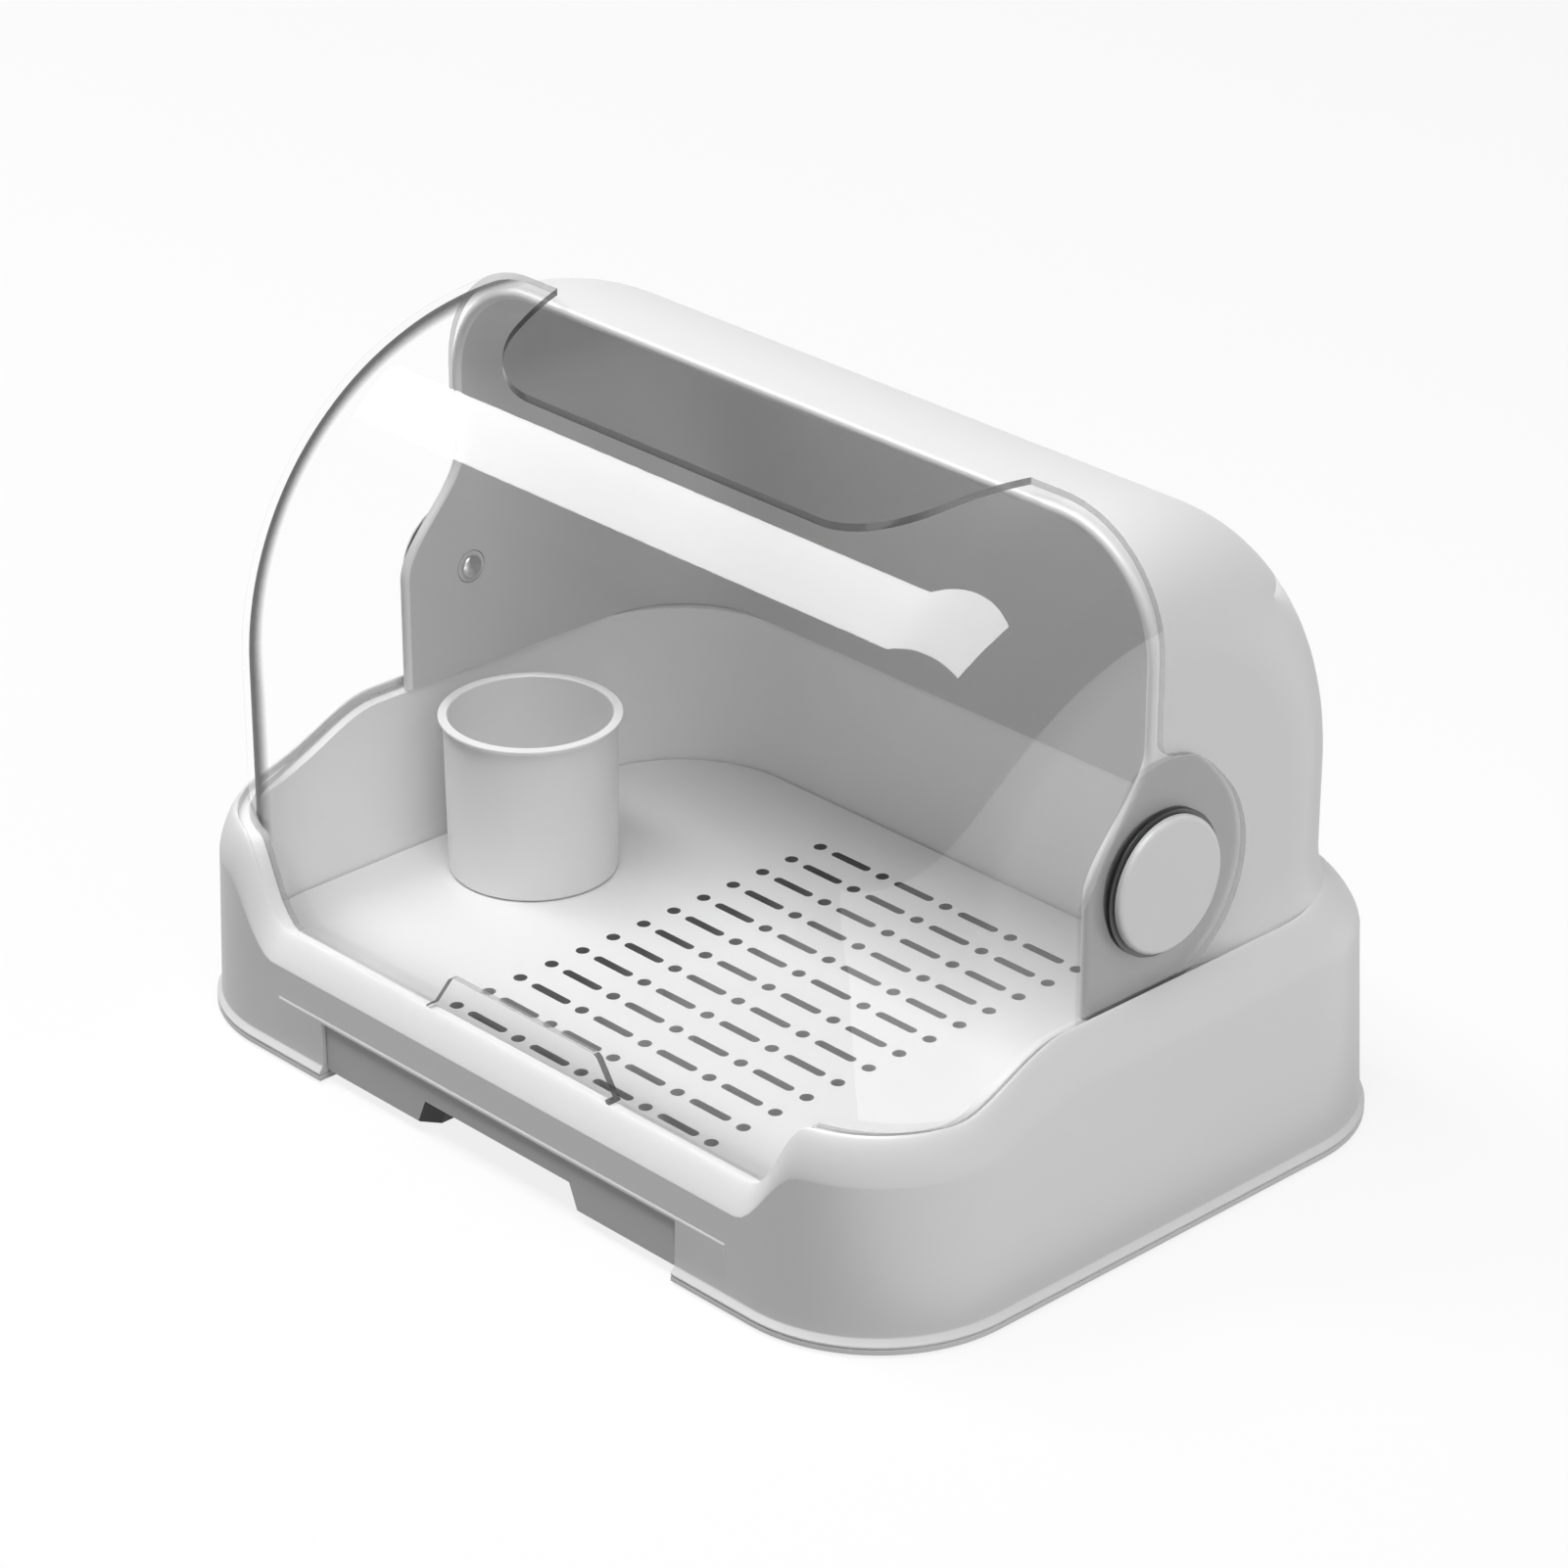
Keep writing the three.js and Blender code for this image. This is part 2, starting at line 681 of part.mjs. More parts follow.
// The hood's roof at an inset: flat over the front, then a quarter round down to the back
function hoodChain(wall) {
  return (inset) => {
    const radius = hoodRadius - wall - inset;
    const points = [[-baseHalfDepth, hoodCentreHeight + radius], [0, hoodCentreHeight + radius]];
    for (let i = 0; i <= bodyArcSteps; i += 1) {
      const angle = (1 - i / bodyArcSteps) * Math.PI / 2;
      points.push([hoodCentreY + radius * Math.cos(angle), hoodCentreHeight + radius * Math.sin(angle)]);
    }
    return points;
  };
}

// The lid's top at an inset: straight up at the front, round about the hinge line, then flat
function lidChain(wall) {
  return (inset) => {
    const radius = lidRadius - wall - inset;
    const points = [];
    for (let i = 0; i <= bodyArcSteps; i += 1) {
      const angle = Math.PI - (i / bodyArcSteps) * Math.PI / 2;
      points.push([pivotY + radius * Math.cos(angle), pivotHeight + radius * Math.sin(angle)]);
    }
    points.push([baseHalfDepth, pivotHeight + radius]);
    return points;
  };
}

// Everything up to the base's ledge and a gap above it, for trimming what stands there
function ledgeTool(gap) {
  const outside = insetLoop(-toolOverrun, -toolOverrun);
  const inside = innerLoop(-2 * ledgeWidth);
  const top = (crest) => crest - ledgeDrop + gap;
  return solid(loft([
    baseRing(outside, () => 0),
    baseRing(outside, top),
    baseRing(insetLoop(rimRoundInset, rimRoundInsetBack), top),
    baseRing(innerLoop(0), top),
    baseRing(inside, top),
    baseRing(inside, () => 0),
  ], null));
}

// Hole through both sides on the hinge line
function pivotBore() {
  const reach = baseHalfWidth;
  return solid(roundBarAlongX(boreRadius, -reach, reach, roundSides).translate(0, pivotY, pivotHeight));
}

// Everything in front of the hood's front edge: upright above, an S curve, then the edge of the ears
function hoodFrontTool() {
  const outline = new THREE.Shape();
  const far = -baseDepth;
  const high = hoodTopHeight + toolOverrun;
  outline.moveTo(far, 0);
  outline.lineTo(-hoodEarReach, 0);
  const steps = 2 * curveSteps;
  for (let i = 0; i <= steps; i += 1) {
    const z = THREE.MathUtils.lerp(hoodEarTop, hoodFrontFoot, i / steps);
    outline.lineTo(-hoodEarReach * (1 - climb(i / steps, 0, 1)), z);
  }
  outline.lineTo(0, high);
  outline.lineTo(far, high);
  return solid(prismAlongX(outline, -baseWidth, baseWidth));
}

function hoodShell() {
  const outer = roundedBody(hoodHalfWidth, hoodCornerRadius, hoodChain(0), rimFrontHeight);
  const inner = roundedBody(hoodHalfWidth - hoodWall, hoodCornerRadius - hoodWall, hoodChain(hoodWall), 0);
  const hollow = roundedSolid(inner, hoodTaperShare, hoodBack);
  const shell = roundedSolid(outer, hoodTaperShare, hoodBack).subtract(hollow);
  return surface(shell.subtract(hoodFrontTool()).subtract(ledgeTool(seatGap)).subtract(pivotBore()));
}

// Everything behind the lid's rear edge and outside its hub, which rises a little towards the neck
function lidRearTool() {
  const outline = new THREE.Shape();
  const high = pivotHeight + lidRadius + toolOverrun;
  const far = baseDepth;
  const neckCentreY = lidRearEdge + lidNeckRadius;
  const neckCentreHeight = pivotHeight + lidHubRadius + lidHubRise + lidNeckRadius;
  const [riseStart, riseEnd] = lidHubRiseShares.map((share) => share * Math.PI / 2);
  outline.moveTo(far, 0);
  outline.lineTo(far, high);
  outline.lineTo(lidRearEdge, high);
  outline.lineTo(lidRearEdge, Math.max(lidNeckHeight, neckCentreHeight));
  outline.absarc(neckCentreY, neckCentreHeight, lidNeckRadius, Math.PI, 1.5 * Math.PI, false);
  for (let i = 0; i <= roundSides; i += 1) {
    const angle = THREE.MathUtils.lerp(riseEnd, -Math.PI / 2, i / roundSides);
    const radius = lidHubRadius + lidHubRise * climb(angle, riseStart, riseEnd - riseStart);
    outline.lineTo(pivotY + radius * Math.cos(angle), pivotHeight + radius * Math.sin(angle));
  }
  outline.lineTo(pivotY, 0);
  return solid(prismAlongX(outline, -baseWidth, baseWidth));
}

// The wide notch at the top rear of the lid, which leaves a vent in front of the hood
function ventTool() {
  const past = lidRearEdge + toolOverrun;
  const slope = (ventHalfWidthRear - ventHalfWidthFront) / (lidRearEdge + ventFront);
  const pastHalf = ventHalfWidthRear + slope * toolOverrun;
  const outline = roundedOutline([
    [-ventHalfWidthFront, -ventFront, ventCornerRadius],
    [ventHalfWidthFront, -ventFront, ventCornerRadius],
    [pastHalf, past, 0],
    [-pastHalf, past, 0],
  ]);
  return solid(prismAlongZ(outline, pivotHeight, pivotHeight + lidRadius + toolOverrun));
}

// The finger notch in the lid's front edge
function gripTool(bottom) {
  const outline = roundedOutline([
    [-gripHalfWidthBottom, bottom, 0],
    [gripHalfWidthBottom, bottom, 0],
    [gripHalfWidthTop, gripTop, gripCornerRadius],
    [-gripHalfWidthTop, gripTop, gripCornerRadius],
  ]);
  const low = block(-gripHalfWidthBottom, gripHalfWidthBottom, -baseDepth, 0, bottom - toolOverrun, bottom);
  return solid(prismAlongY(outline, -baseDepth, 0)).add(solid(low));
}

function clearLid() {
  const bottom = rimFrontHeight - ledgeDrop + lidGap;
  const outer = roundedBody(lidHalfWidth, lidCornerRadius, lidChain(0), bottom);
  const inner = roundedBody(lidInnerHalfWidth, lidCornerRadius - lidWall, lidChain(lidWall), 0);
  const frontFace = pivotY - lidRadius;
  const flangeFront = frontFace - lidFlangeReach;
  const flangeBack = frontFace + lidWall / 2;
  const flangeTop = bottom + lidFlangeThickness;
  const flange = block(-lidFlangeHalfWidth, lidFlangeHalfWidth, flangeFront, flangeBack, bottom, flangeTop);
  const hollow = roundedSolid(inner, 0, baseDepth);
  const shell = roundedSolid(outer, 0, baseDepth).subtract(hollow).add(solid(flange));
  const trimmed = shell.subtract(lidRearTool()).subtract(ledgeTool(lidGap)).subtract(pivotBore());
  return surface(trimmed.subtract(ventTool()).subtract(gripTool(bottom)));
}

// Places of the hinge pieces along X, from the inside of the ear outwards
const earInside = hoodHalfWidth - hoodWall;
const washerInside = lidHalfWidth + seatGap;
const capInside = washerInside + washerThickness + seatGap;
const pinHeadOutside = earInside - 2 * seatGap;
const pinEnd = capInside + capSocketDepth - seatGap;

function hingePin() {
  return turnedAlongX([
    [0, pinHeadOutside - pinHeadHeight],
    [pinHeadRadius, pinHeadOutside - pinHeadHeight],
    [pinHeadRadius, pinHeadOutside],
    [pinRadius, pinHeadOutside],
    [pinRadius, pinEnd],
    [0, pinEnd],
  ], roundSides);
}

function hingeBush() {
  const inner = pinRadius + seatGap;
  return turnedAlongX([
    [inner, earInside],
    [bushRadius, earInside],
    [bushRadius, lidHalfWidth],
    [inner, lidHalfWidth],
    [inner, earInside],
  ], roundSides);
}

function hingeWasher() {
  const inner = pinRadius + seatGap;
  const outside = washerInside + washerThickness;
  return turnedAlongX([
    [inner, washerInside],
    [washerRadius, washerInside],
    [washerRadius, outside],
    [inner, outside],
    [inner, washerInside],
  ], largeRoundSides);
}

function hingeCap() {
  const socket = pinRadius + seatGap;
  const outside = capInside + capThickness;
  return turnedAlongX([
    [0, capInside + capSocketDepth],
    [socket, capInside + capSocketDepth],
    [socket, capInside],
    [capRadius, capInside],
    [capRadius, outside - capBevel],
    [capRadius - capBevel, outside],
    [0, outside],
  ], largeRoundSides);
}

// A named piece with its own material
function piece(name, geometry, colour, roughness, metalness) {
  const material = new THREE.MeshStandardMaterial({ color: colour, roughness, metalness });
  const mesh = new THREE.Mesh(geometry, material);
  mesh.name = name;
  return mesh;
}

// Colours and finishes
const white = 0xeeeeee;
const paleGrey = 0xd6d6d6;
const clear = 0xf4f6f6;
const black = 0x161616;
const steel = 0xb8b8b8;
const rubber = 0x8a8a8a;
const gloss = 0.3;
const satin = 0.45;
const polished = 0.08;
const turnedMetal = 0.3;
const softRubber = 0.8;

const dryingBox = new THREE.Group();
const standing = new THREE.Group();
standing.position.z = footProud;
dryingBox.add(standing);

const base = new THREE.Group();
base.add(piece("base_shell", baseShell(), white, satin, 0));
base.add(piece("bottom_plate", bottomPlate(), white, satin, 0));
for (const [place, x, y] of footPlaces()) {
  const mesh = piece(`foot_${place}`, foot(), rubber, softRubber, 0);
  mesh.position.set(x, y, 0);
  base.add(mesh);
}
for (const [place, x, y] of screwPlaces()) {
  const mesh = piece(`plate_screw_${place}`, plateScrew(), steel, turnedMetal, 1);
  mesh.position.set(x, y, 0);
  base.add(mesh);
}
for (const [side, turn] of [["right", 0], ["left", 1]]) {
  const geometry = drawerRail();
  if (turn) {
    geometry.scale(-1, 1, 1);
    geometry.index.array.reverse();
    geometry.computeVertexNormals();
  }
  base.add(piece(`drawer_rail_${side}`, geometry, paleGrey, satin, 0));
}
standing.add(base);
standing.add(piece("drain_tray", drainTray(), white, satin, 0));
standing.add(piece("water_drawer", waterDrawer(), white, satin, 0));
standing.add(piece("hood_shell", hoodShell(), white, gloss, 0));

const cupMesh = piece("cup", cup(), white, satin, 0);
cupMesh.position.set(cupX, cupY, floorTop + seatGap);
standing.add(cupMesh);

const lid = new THREE.Group();
lid.add(piece("clear_lid", clearLid(), clear, polished, 0));
standing.add(lid);

for (const [side, turn] of [["right", 0], ["left", Math.PI]]) {
  const hinge = new THREE.Group();
  hinge.position.set(0, pivotY, pivotHeight);
  hinge.rotation.z = turn;
  hinge.add(piece(`hinge_pin_${side}`, hingePin(), steel, turnedMetal, 1));
  hinge.add(piece(`hinge_bush_${side}`, hingeBush(), paleGrey, satin, 0));
  hinge.add(piece(`hinge_washer_${side}`, hingeWasher(), black, satin, 0));
  hinge.add(piece(`hinge_cap_${side}`, hingeCap(), white, gloss, 0));
  standing.add(hinge);
}

export default dryingBox;
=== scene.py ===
# %% [markdown]
# # Drying box for baby bottles
#
# The box stands on four rubber feet. A white base with round corners carries a fixed half hood at the back
# and a clear lid at the front. The lid turns about two hinge caps at the sides. Under the floor with its
# drain holes a drawer collects the water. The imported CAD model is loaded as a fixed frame, and every piece
# below is made in that frame, in metres, so that nothing has to be fitted by eye.

# %% Frame
import math

import bpy
import bmesh
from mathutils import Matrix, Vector


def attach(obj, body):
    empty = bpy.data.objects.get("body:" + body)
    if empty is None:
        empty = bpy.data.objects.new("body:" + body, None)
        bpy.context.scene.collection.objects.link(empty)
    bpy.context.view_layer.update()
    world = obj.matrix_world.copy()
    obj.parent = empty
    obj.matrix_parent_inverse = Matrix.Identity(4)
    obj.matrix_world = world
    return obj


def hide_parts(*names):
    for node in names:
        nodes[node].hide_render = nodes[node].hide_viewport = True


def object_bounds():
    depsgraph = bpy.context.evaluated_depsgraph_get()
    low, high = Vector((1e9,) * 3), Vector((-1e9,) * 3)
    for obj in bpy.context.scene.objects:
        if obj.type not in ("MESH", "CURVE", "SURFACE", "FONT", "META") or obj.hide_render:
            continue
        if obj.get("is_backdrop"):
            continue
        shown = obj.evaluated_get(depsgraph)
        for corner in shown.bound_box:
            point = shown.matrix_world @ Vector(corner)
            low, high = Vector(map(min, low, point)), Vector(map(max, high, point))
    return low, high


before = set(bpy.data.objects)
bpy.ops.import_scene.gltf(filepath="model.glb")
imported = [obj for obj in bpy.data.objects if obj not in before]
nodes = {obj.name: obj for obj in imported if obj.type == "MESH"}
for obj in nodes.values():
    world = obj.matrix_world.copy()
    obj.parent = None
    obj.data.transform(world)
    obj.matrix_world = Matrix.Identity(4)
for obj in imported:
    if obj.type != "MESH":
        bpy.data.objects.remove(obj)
cad_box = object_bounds()
scene = bpy.context.scene

# %% [markdown]
# ## Camera
#
# The photograph looks down on the right front corner with a long lens. The place and the turn of the camera
# were fitted to the footprint, the rim and the hinge line of the real box, so its lines fall in the same
# places here.

# %% Camera
CAMERA_TURN = 46.494
CAMERA_RISE = 26.489
CAMERA_PLACE = (1.1933, -1.1308, 0.9223)
lens = bpy.data.cameras.new("camera")
lens.lens = 122.63
lens.sensor_width = 36
camera = bpy.data.objects.new("camera", lens)
camera.location = CAMERA_PLACE
camera.rotation_euler = (math.radians(90 - CAMERA_RISE), 0, math.radians(CAMERA_TURN))
scene.collection.objects.link(camera)
scene.camera = camera
print("camera:", round(Vector(CAMERA_PLACE).length, 2), "m from the middle of the box")

# %% [markdown]
# ## Shader maths
#
# A material is a net of nodes. Two small helpers keep the nets readable. Value wraps one socket, so that a
# sum of values adds its Math nodes by itself. Finish holds one material and makes any other node from its
# type, its settings and the values or links of its sockets.


# %% Shader maths
def feed(tree, socket, value):
    if isinstance(value, Value):
        tree.links.new(value.socket, socket)
    elif hasattr(socket.default_value, "__len__") and not hasattr(value, "__len__"):
        socket.default_value = [value] * 3 + [1] * (len(socket.default_value) - 3)
    else:
        socket.default_value = value


class Value:
    """One output of a net, used in sums."""

    def __init__(self, tree, socket):
        self.tree = tree
        self.socket = socket

    def maths(self, operation, *values):
        node = self.tree.nodes.new("ShaderNodeMath")
        node.operation = operation
        for socket, value in zip(node.inputs, values):
            feed(self.tree, socket, value)
        return Value(self.tree, node.outputs[0])

    def __add__(self, other):
        return self.maths("ADD", self, other)

    __radd__ = __add__

    def __sub__(self, other):
        return self.maths("SUBTRACT", self, other)

    def __rsub__(self, other):
        return self.maths("SUBTRACT", other, self)

    def __mul__(self, other):
        return self.maths("MULTIPLY", self, other)

    __rmul__ = __mul__

    def __pow__(self, other):
        return self.maths("POWER", self, other)

    def at_most(self, other):
        return self.maths("MINIMUM", self, other)

    def at_least(self, other):
        return self.maths("MAXIMUM", self, other)


class Finish:
    """One material and its net of nodes."""

    def __init__(self, name):
        self.material = bpy.data.materials.new(name)
        self.material.use_nodes = True
        self.tree = self.material.node_tree
        self.tree.nodes.clear()

    def node(self, kind, settings=None, values=None, output=0):
        node = self.tree.nodes.new("ShaderNode" + kind)
        for name, value in (settings or {}).items():
            setattr(node, name, value)
        for name, value in (values or {}).items():
            feed(self.tree, node.inputs[name], value)
        return Value(self.tree, node.outputs[output])

    def place(self):
        return self.node("TexCoord", output="Object")

    def axes(self):
        node = self.tree.nodes.new("ShaderNodeSeparateXYZ")
        feed(self.tree, node.inputs[0], self.place())
        return [Value(self.tree, output) for output in node.outputs]

    def show(self, shader):
        last = self.tree.nodes.new("ShaderNodeOutputMaterial")
        self.tree.links.new(shader.socket, last.inputs["Surface"])
        return self.material


def share_between(value, low, high):
    """0 below a value, 1 above another, even in between."""
    return (value * (1 / (high - low)) - low / (high - low)).at_least(0.0).at_most(1.0)


print("shader helpers: ready")

# %% [markdown]
# ## Moulded plastic
#
# The real shell is injection moulded in white plastic. A mould leaves a very fine grain, and cooling leaves
# slow waves that only show in the gloss. Both are noise on object coordinates: the fine one feeds a bump, the
# slow one shifts the roughness and the tone by a hair, so that no surface is a single flat colour.


# %% Moulded plastic
def moulded_plastic(name, colour, roughness, grain=0.035, grain_size=0.0007, tone_shift=0.012):
    finish = Finish(name)
    place = finish.place()
    slow = finish.node("TexNoise", values={"Vector": place, "Scale": 14.0, "Detail": 2.0}, output="Fac")
    fine = finish.node("TexNoise", output="Fac", values={
        "Vector": place, "Scale": 1 / grain_size, "Detail": 1.0,
    })
    dark = [c * (1 - tone_shift) for c in colour] + [1]
    tone = finish.node(
        "Mix",
        {"data_type": "RGBA"},
        {0: slow, 6: dark, 7: list(colour) + [1]},
        output=2,
    )
    bump = finish.node("Bump", values={"Strength": grain, "Distance": 0.0002, "Height": fine})
    gloss = slow * 0.06 + (roughness - 0.03)
    shader = finish.node("BsdfPrincipled", values={"Base Color": tone, "Roughness": gloss, "Normal": bump})
    return finish.show(shader)


white_shell = moulded_plastic("white_shell_satin", (0.86, 0.86, 0.86), 0.42)
white_hood = moulded_plastic("white_hood_gloss", (0.79, 0.79, 0.79), 0.42, grain=0.03)
# Painted shade: the inside of the hood, and the pin bushes in it, get a darker grey than the outside.
hood_inside_painted_shade = moulded_plastic("white_hood_inside_matt", (0.58, 0.58, 0.58), 0.5)
white_inner = moulded_plastic("white_inner_satin", (0.8, 0.8, 0.8), 0.46)
drawer_plastic_painted_shade = moulded_plastic("white_drawer_satin", (0.66, 0.66, 0.66), 0.46)
pale_inner = moulded_plastic("pale_inner_satin", (0.68, 0.68, 0.68), 0.45)
# Painted shade: near black for the slanted ends of the drawer's recess, which lie in deep shade.
deep_shade = moulded_plastic("white_drawer_in_shade", (0.03, 0.03, 0.03), 0.6)
# Near black: partly the washer's own colour, partly painted shade for the gap under the hinge cap.
black_washer = moulded_plastic("black_washer_satin", (0.02, 0.02, 0.02), 0.5, grain=0.12)
print("plastics: 8")

# %% [markdown]
# ## Steel and rubber
#
# The hinge pins and the screws are turned steel. Turning leaves fine rings, which a wave texture gives as a
# small change of roughness. The feet are matt grey rubber with a coarser grain.


# %% Steel and rubber
def turned_steel(name):
    finish = Finish(name)
    place = finish.place()
    rings = finish.node("TexWave", {"wave_type": "RINGS"}, {"Vector": place, "Scale": 900.0}, output="Fac")
    speck = finish.node("TexNoise", values={"Vector": place, "Scale": 2600.0, "Detail": 2.0}, output="Fac")
    bump = finish.node("Bump", values={"Strength": 0.05, "Distance": 0.0001, "Height": rings})
    gloss = rings * 0.05 + speck * 0.08 + 0.2
    shader = finish.node("BsdfPrincipled", values={
        "Base Color": (0.6, 0.6, 0.6, 1),
        "Metallic": 1.0,
        "Roughness": gloss,
        "Normal": bump,
    })
    return finish.show(shader)


steel = turned_steel("steel_turned")
grey_rubber = moulded_plastic("grey_rubber_matt", (0.26, 0.26, 0.26), 0.8, grain=0.3, tone_shift=0.15)
print("steel and rubber: 2")

# %% [markdown]
# ## Clear plastic
#
# The lid is a polished clear moulding with a wall of 2.5 mm. Refraction would need many bounces and would
# shade the inside, so the outer faces mix a see-through shader with a mirror by Fresnel, as thin glass does.
# The inner faces have no mirror, or every image would show twice. Where the wall is seen edge on, the real
# plastic gathers a dark line along its inner side: Layer Weight mixes in a dark grey there, as painted shade.
# Round the right hinge the lid lies close over the hood's ear and takes some light away: a grey tint on that
# part of the lid paints that shade in. The cut edges of the wall are seen lengthwise and look darker, so
# their own finishes paint that shade in as a grey and a near black.


# %% Clear plastic
def hub_painted_shade(finish):
    """Mask of the painted shade: 1 on the part of the right hub that lies over the hood's ear, 0 elsewhere.
    """
    hinge_y, hinge_z = 0.004, 0.1295
    x, y, z = finish.axes()
    across, up = y - hinge_y, z - hinge_z
    radius = (across * across + up * up) ** 0.5
    ear_front = share_between(z, 0.132, 0.176) * 0.027 - 0.033
    near = 1 - share_between(radius, 0.0425, 0.0435)
    below = (1 - share_between(z, 0.1285, 0.1295)) * (1 - share_between(y, 0.003, 0.004))
    over_ear = share_between(y - ear_front, 0.0, 0.0015)
    return near.at_least(below) * share_between(x, 0.165, 0.168) * over_ear


def clear_faces(name, mirror_strength, line_start, line_end, line_strength):
    finish = Finish(name)
    back = finish.node("NewGeometry", output="Backfacing")
    edge_on = finish.node("LayerWeight", values={"Blend": 0.5}, output="Facing")
    mirror = finish.node("Fresnel", values={"IOR": 1.46}).at_most(0.3) * (1 - back) * mirror_strength
    clear = finish.node("BsdfTransparent", values={"Color": (1, 1, 1, 1)})
    # Painted shade: a grey tint on the part of the lid that lies over the hood's ear.
    painted_shade_tint = finish.node("BsdfTransparent", values={"Color": (0.8, 0.8, 0.8, 1)})
    through = finish.node("MixShader", values={0: hub_painted_shade(finish), 1: clear, 2: painted_shade_tint})
    # Painted shade: a dark grey mixed in where the wall is seen edge on, for the dark line of the real
    # plastic.
    grey = finish.node("BsdfDiffuse", values={"Color": (0.03, 0.03, 0.03, 1)})
    gloss = finish.node("BsdfAnisotropic", values={"Color": (1, 1, 1, 1), "Roughness": 0.03})
    line = share_between(edge_on, line_start, line_end) * line_strength
    wall = finish.node("MixShader", values={0: line, 1: through, 2: grey})
    return finish.show(finish.node("MixShader", values={0: mirror, 1: wall, 2: gloss}))


# Painted shade: cut edges of the lid get a fixed grey, or near black, for the darker look they have when seen
# lengthwise.
def clear_edges(name, tone, cover):
    finish = Finish(name)
    place = finish.place()
    cloud = finish.node("TexNoise", values={"Vector": place, "Scale": 60.0, "Detail": 2.0}, output="Fac")
    through = finish.node("BsdfTransparent", values={"Color": (0.95, 0.95, 0.95, 1)})
    body = finish.node("BsdfPrincipled", values={"Base Color": (tone, tone, tone, 1), "Roughness": 0.12})
    return finish.show(finish.node("MixShader", values={0: cloud * 0.1 + cover, 1: through, 2: body}))


lid_faces = clear_faces("clear_lid_outer_faces", 1.0, 0.9, 1.0, 0.2)
lid_inside = clear_faces("clear_lid_inner_faces", 0.0, 0.57, 0.8, 0.95)
lid_edges_painted_shade = clear_edges("clear_lid_edges", 0.42, 0.45)
lid_cuts_painted_shade = clear_edges("clear_lid_cuts", 0.05, 0.8)
print("clear plastic: 4")

# %% [markdown]
# ## Mesh helpers
#
# Every shell here is a loft: closed rings of points, joined side by side. All sizes are written in
# millimetres, as on a drawing, and become metres when a mesh is made. Heights are above the underside of the
# bottom plate, and the feet lift the whole box by one millimetre.

# %% Mesh helpers
MILLIMETRE = 0.001
METRE = 1000
FEET_PROUD = 1.0


def new_piece(name, points, faces, *materials):
    mesh = bpy.data.meshes.new(name)
    places = [(x * MILLIMETRE, y * MILLIMETRE, (z + FEET_PROUD) * MILLIMETRE) for x, y, z in points]
    mesh.from_pydata(places, [], faces)
    for material in materials:
        mesh.materials.append(material)
    piece = bpy.data.objects.new(name, mesh)
    scene.collection.objects.link(piece)
    return piece


def loft(rings, caps=False, closed=False):
    """Faces between rings of equal counts. Caps fan over the first and the last ring."""
    count = len(rings[0])
    points = [point for ring in rings for point in ring]
    faces = []
    for r in range(len(rings) if closed else len(rings) - 1):
        here = r * count
        there = ((r + 1) % len(rings)) * count
        for i in range(count):
            j = (i + 1) % count
            faces.append((here + i, here + j, there + j, there + i))
    if caps:
        faces.append(tuple(reversed(range(count))))
        faces.append(tuple(range((len(rings) - 1) * count, len(rings) * count)))
    return points, faces


def mend_normals(piece):
    """Merges doubles, drops flat faces and turns all faces outwards."""
    net = bmesh.new()
    net.from_mesh(piece.data)
    bmesh.ops.remove_doubles(net, verts=net.verts, dist=2e-6)
    bmesh.ops.dissolve_degenerate(net, edges=net.edges, dist=1e-6)
    bmesh.ops.recalc_face_normals(net, faces=net.faces)
    net.to_mesh(piece.data)
    net.free()
    return piece


def evaluated(piece):
    """The piece's mesh with its modifiers applied; the modifiers are removed."""
    bpy.context.view_layer.update()
    graph = bpy.context.evaluated_depsgraph_get()
    mesh = bpy.data.meshes.new_from_object(piece.evaluated_get(graph), depsgraph=graph)
    piece.modifiers.clear()
    piece.data = mesh
    return piece


def join_or_cut(piece, tool, operation):
    modifier = piece.modifiers.new(operation, "BOOLEAN")
    modifier.operation = operation
    modifier.solver = "MANIFOLD"
    modifier.object = tool
    evaluated(piece)
    bpy.data.objects.remove(tool)
    return piece


def cut(piece, tool):
    return join_or_cut(piece, tool, "DIFFERENCE")


def join(piece, tool):
    return join_or_cut(piece, tool, "UNION")


def smooth(piece, degrees=35):
    """Smooth shading with sharp edges, the large faces leading the normals."""
    mesh = piece.data
    mesh.polygons.foreach_set("use_smooth", [True] * len(mesh.polygons))
    mesh.set_sharp_from_angle(angle=math.radians(degrees))
    lead = piece.modifiers.new("large faces lead", "WEIGHTED_NORMAL")
    lead.keep_sharp = True
    return evaluated(piece)


def finish_piece(piece, body, slot, *replaced):
    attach(piece, body)
    if replaced:
        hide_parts(*replaced)
    print(piece.name + ":", len(piece.data.polygons), "faces")
    return piece


def block(name, low, high, *materials):
    (x0, y0, z0), (x1, y1, z1) = low, high
    ring = [(x0, y0), (x1, y0), (x1, y1), (x0, y1)]
    rings = [[(x, y, z0) for x, y in ring], [(x, y, z1) for x, y in ring]]
    return new_piece(name, *loft(rings, caps=True), *materials)


def turned(name, profile, sides, place=(0, 0, 0), axis="Z", *materials):
    """A turned piece from a closed profile of radius and distance along its axis."""
    rings = []
    for i in range(sides):
        angle = 2 * math.pi * i / sides
        c, s = math.cos(angle), math.sin(angle)
        ring = []
        for radius, along in profile:
            x, y, z = (radius * c, radius * s, along) if axis == "Z" else (along, radius * c, radius * s)
            ring.append((x + place[0], y + place[1], z + place[2]))
        rings.append(ring)
    return mend_normals(new_piece(name, *loft(rings, closed=True), *materials))


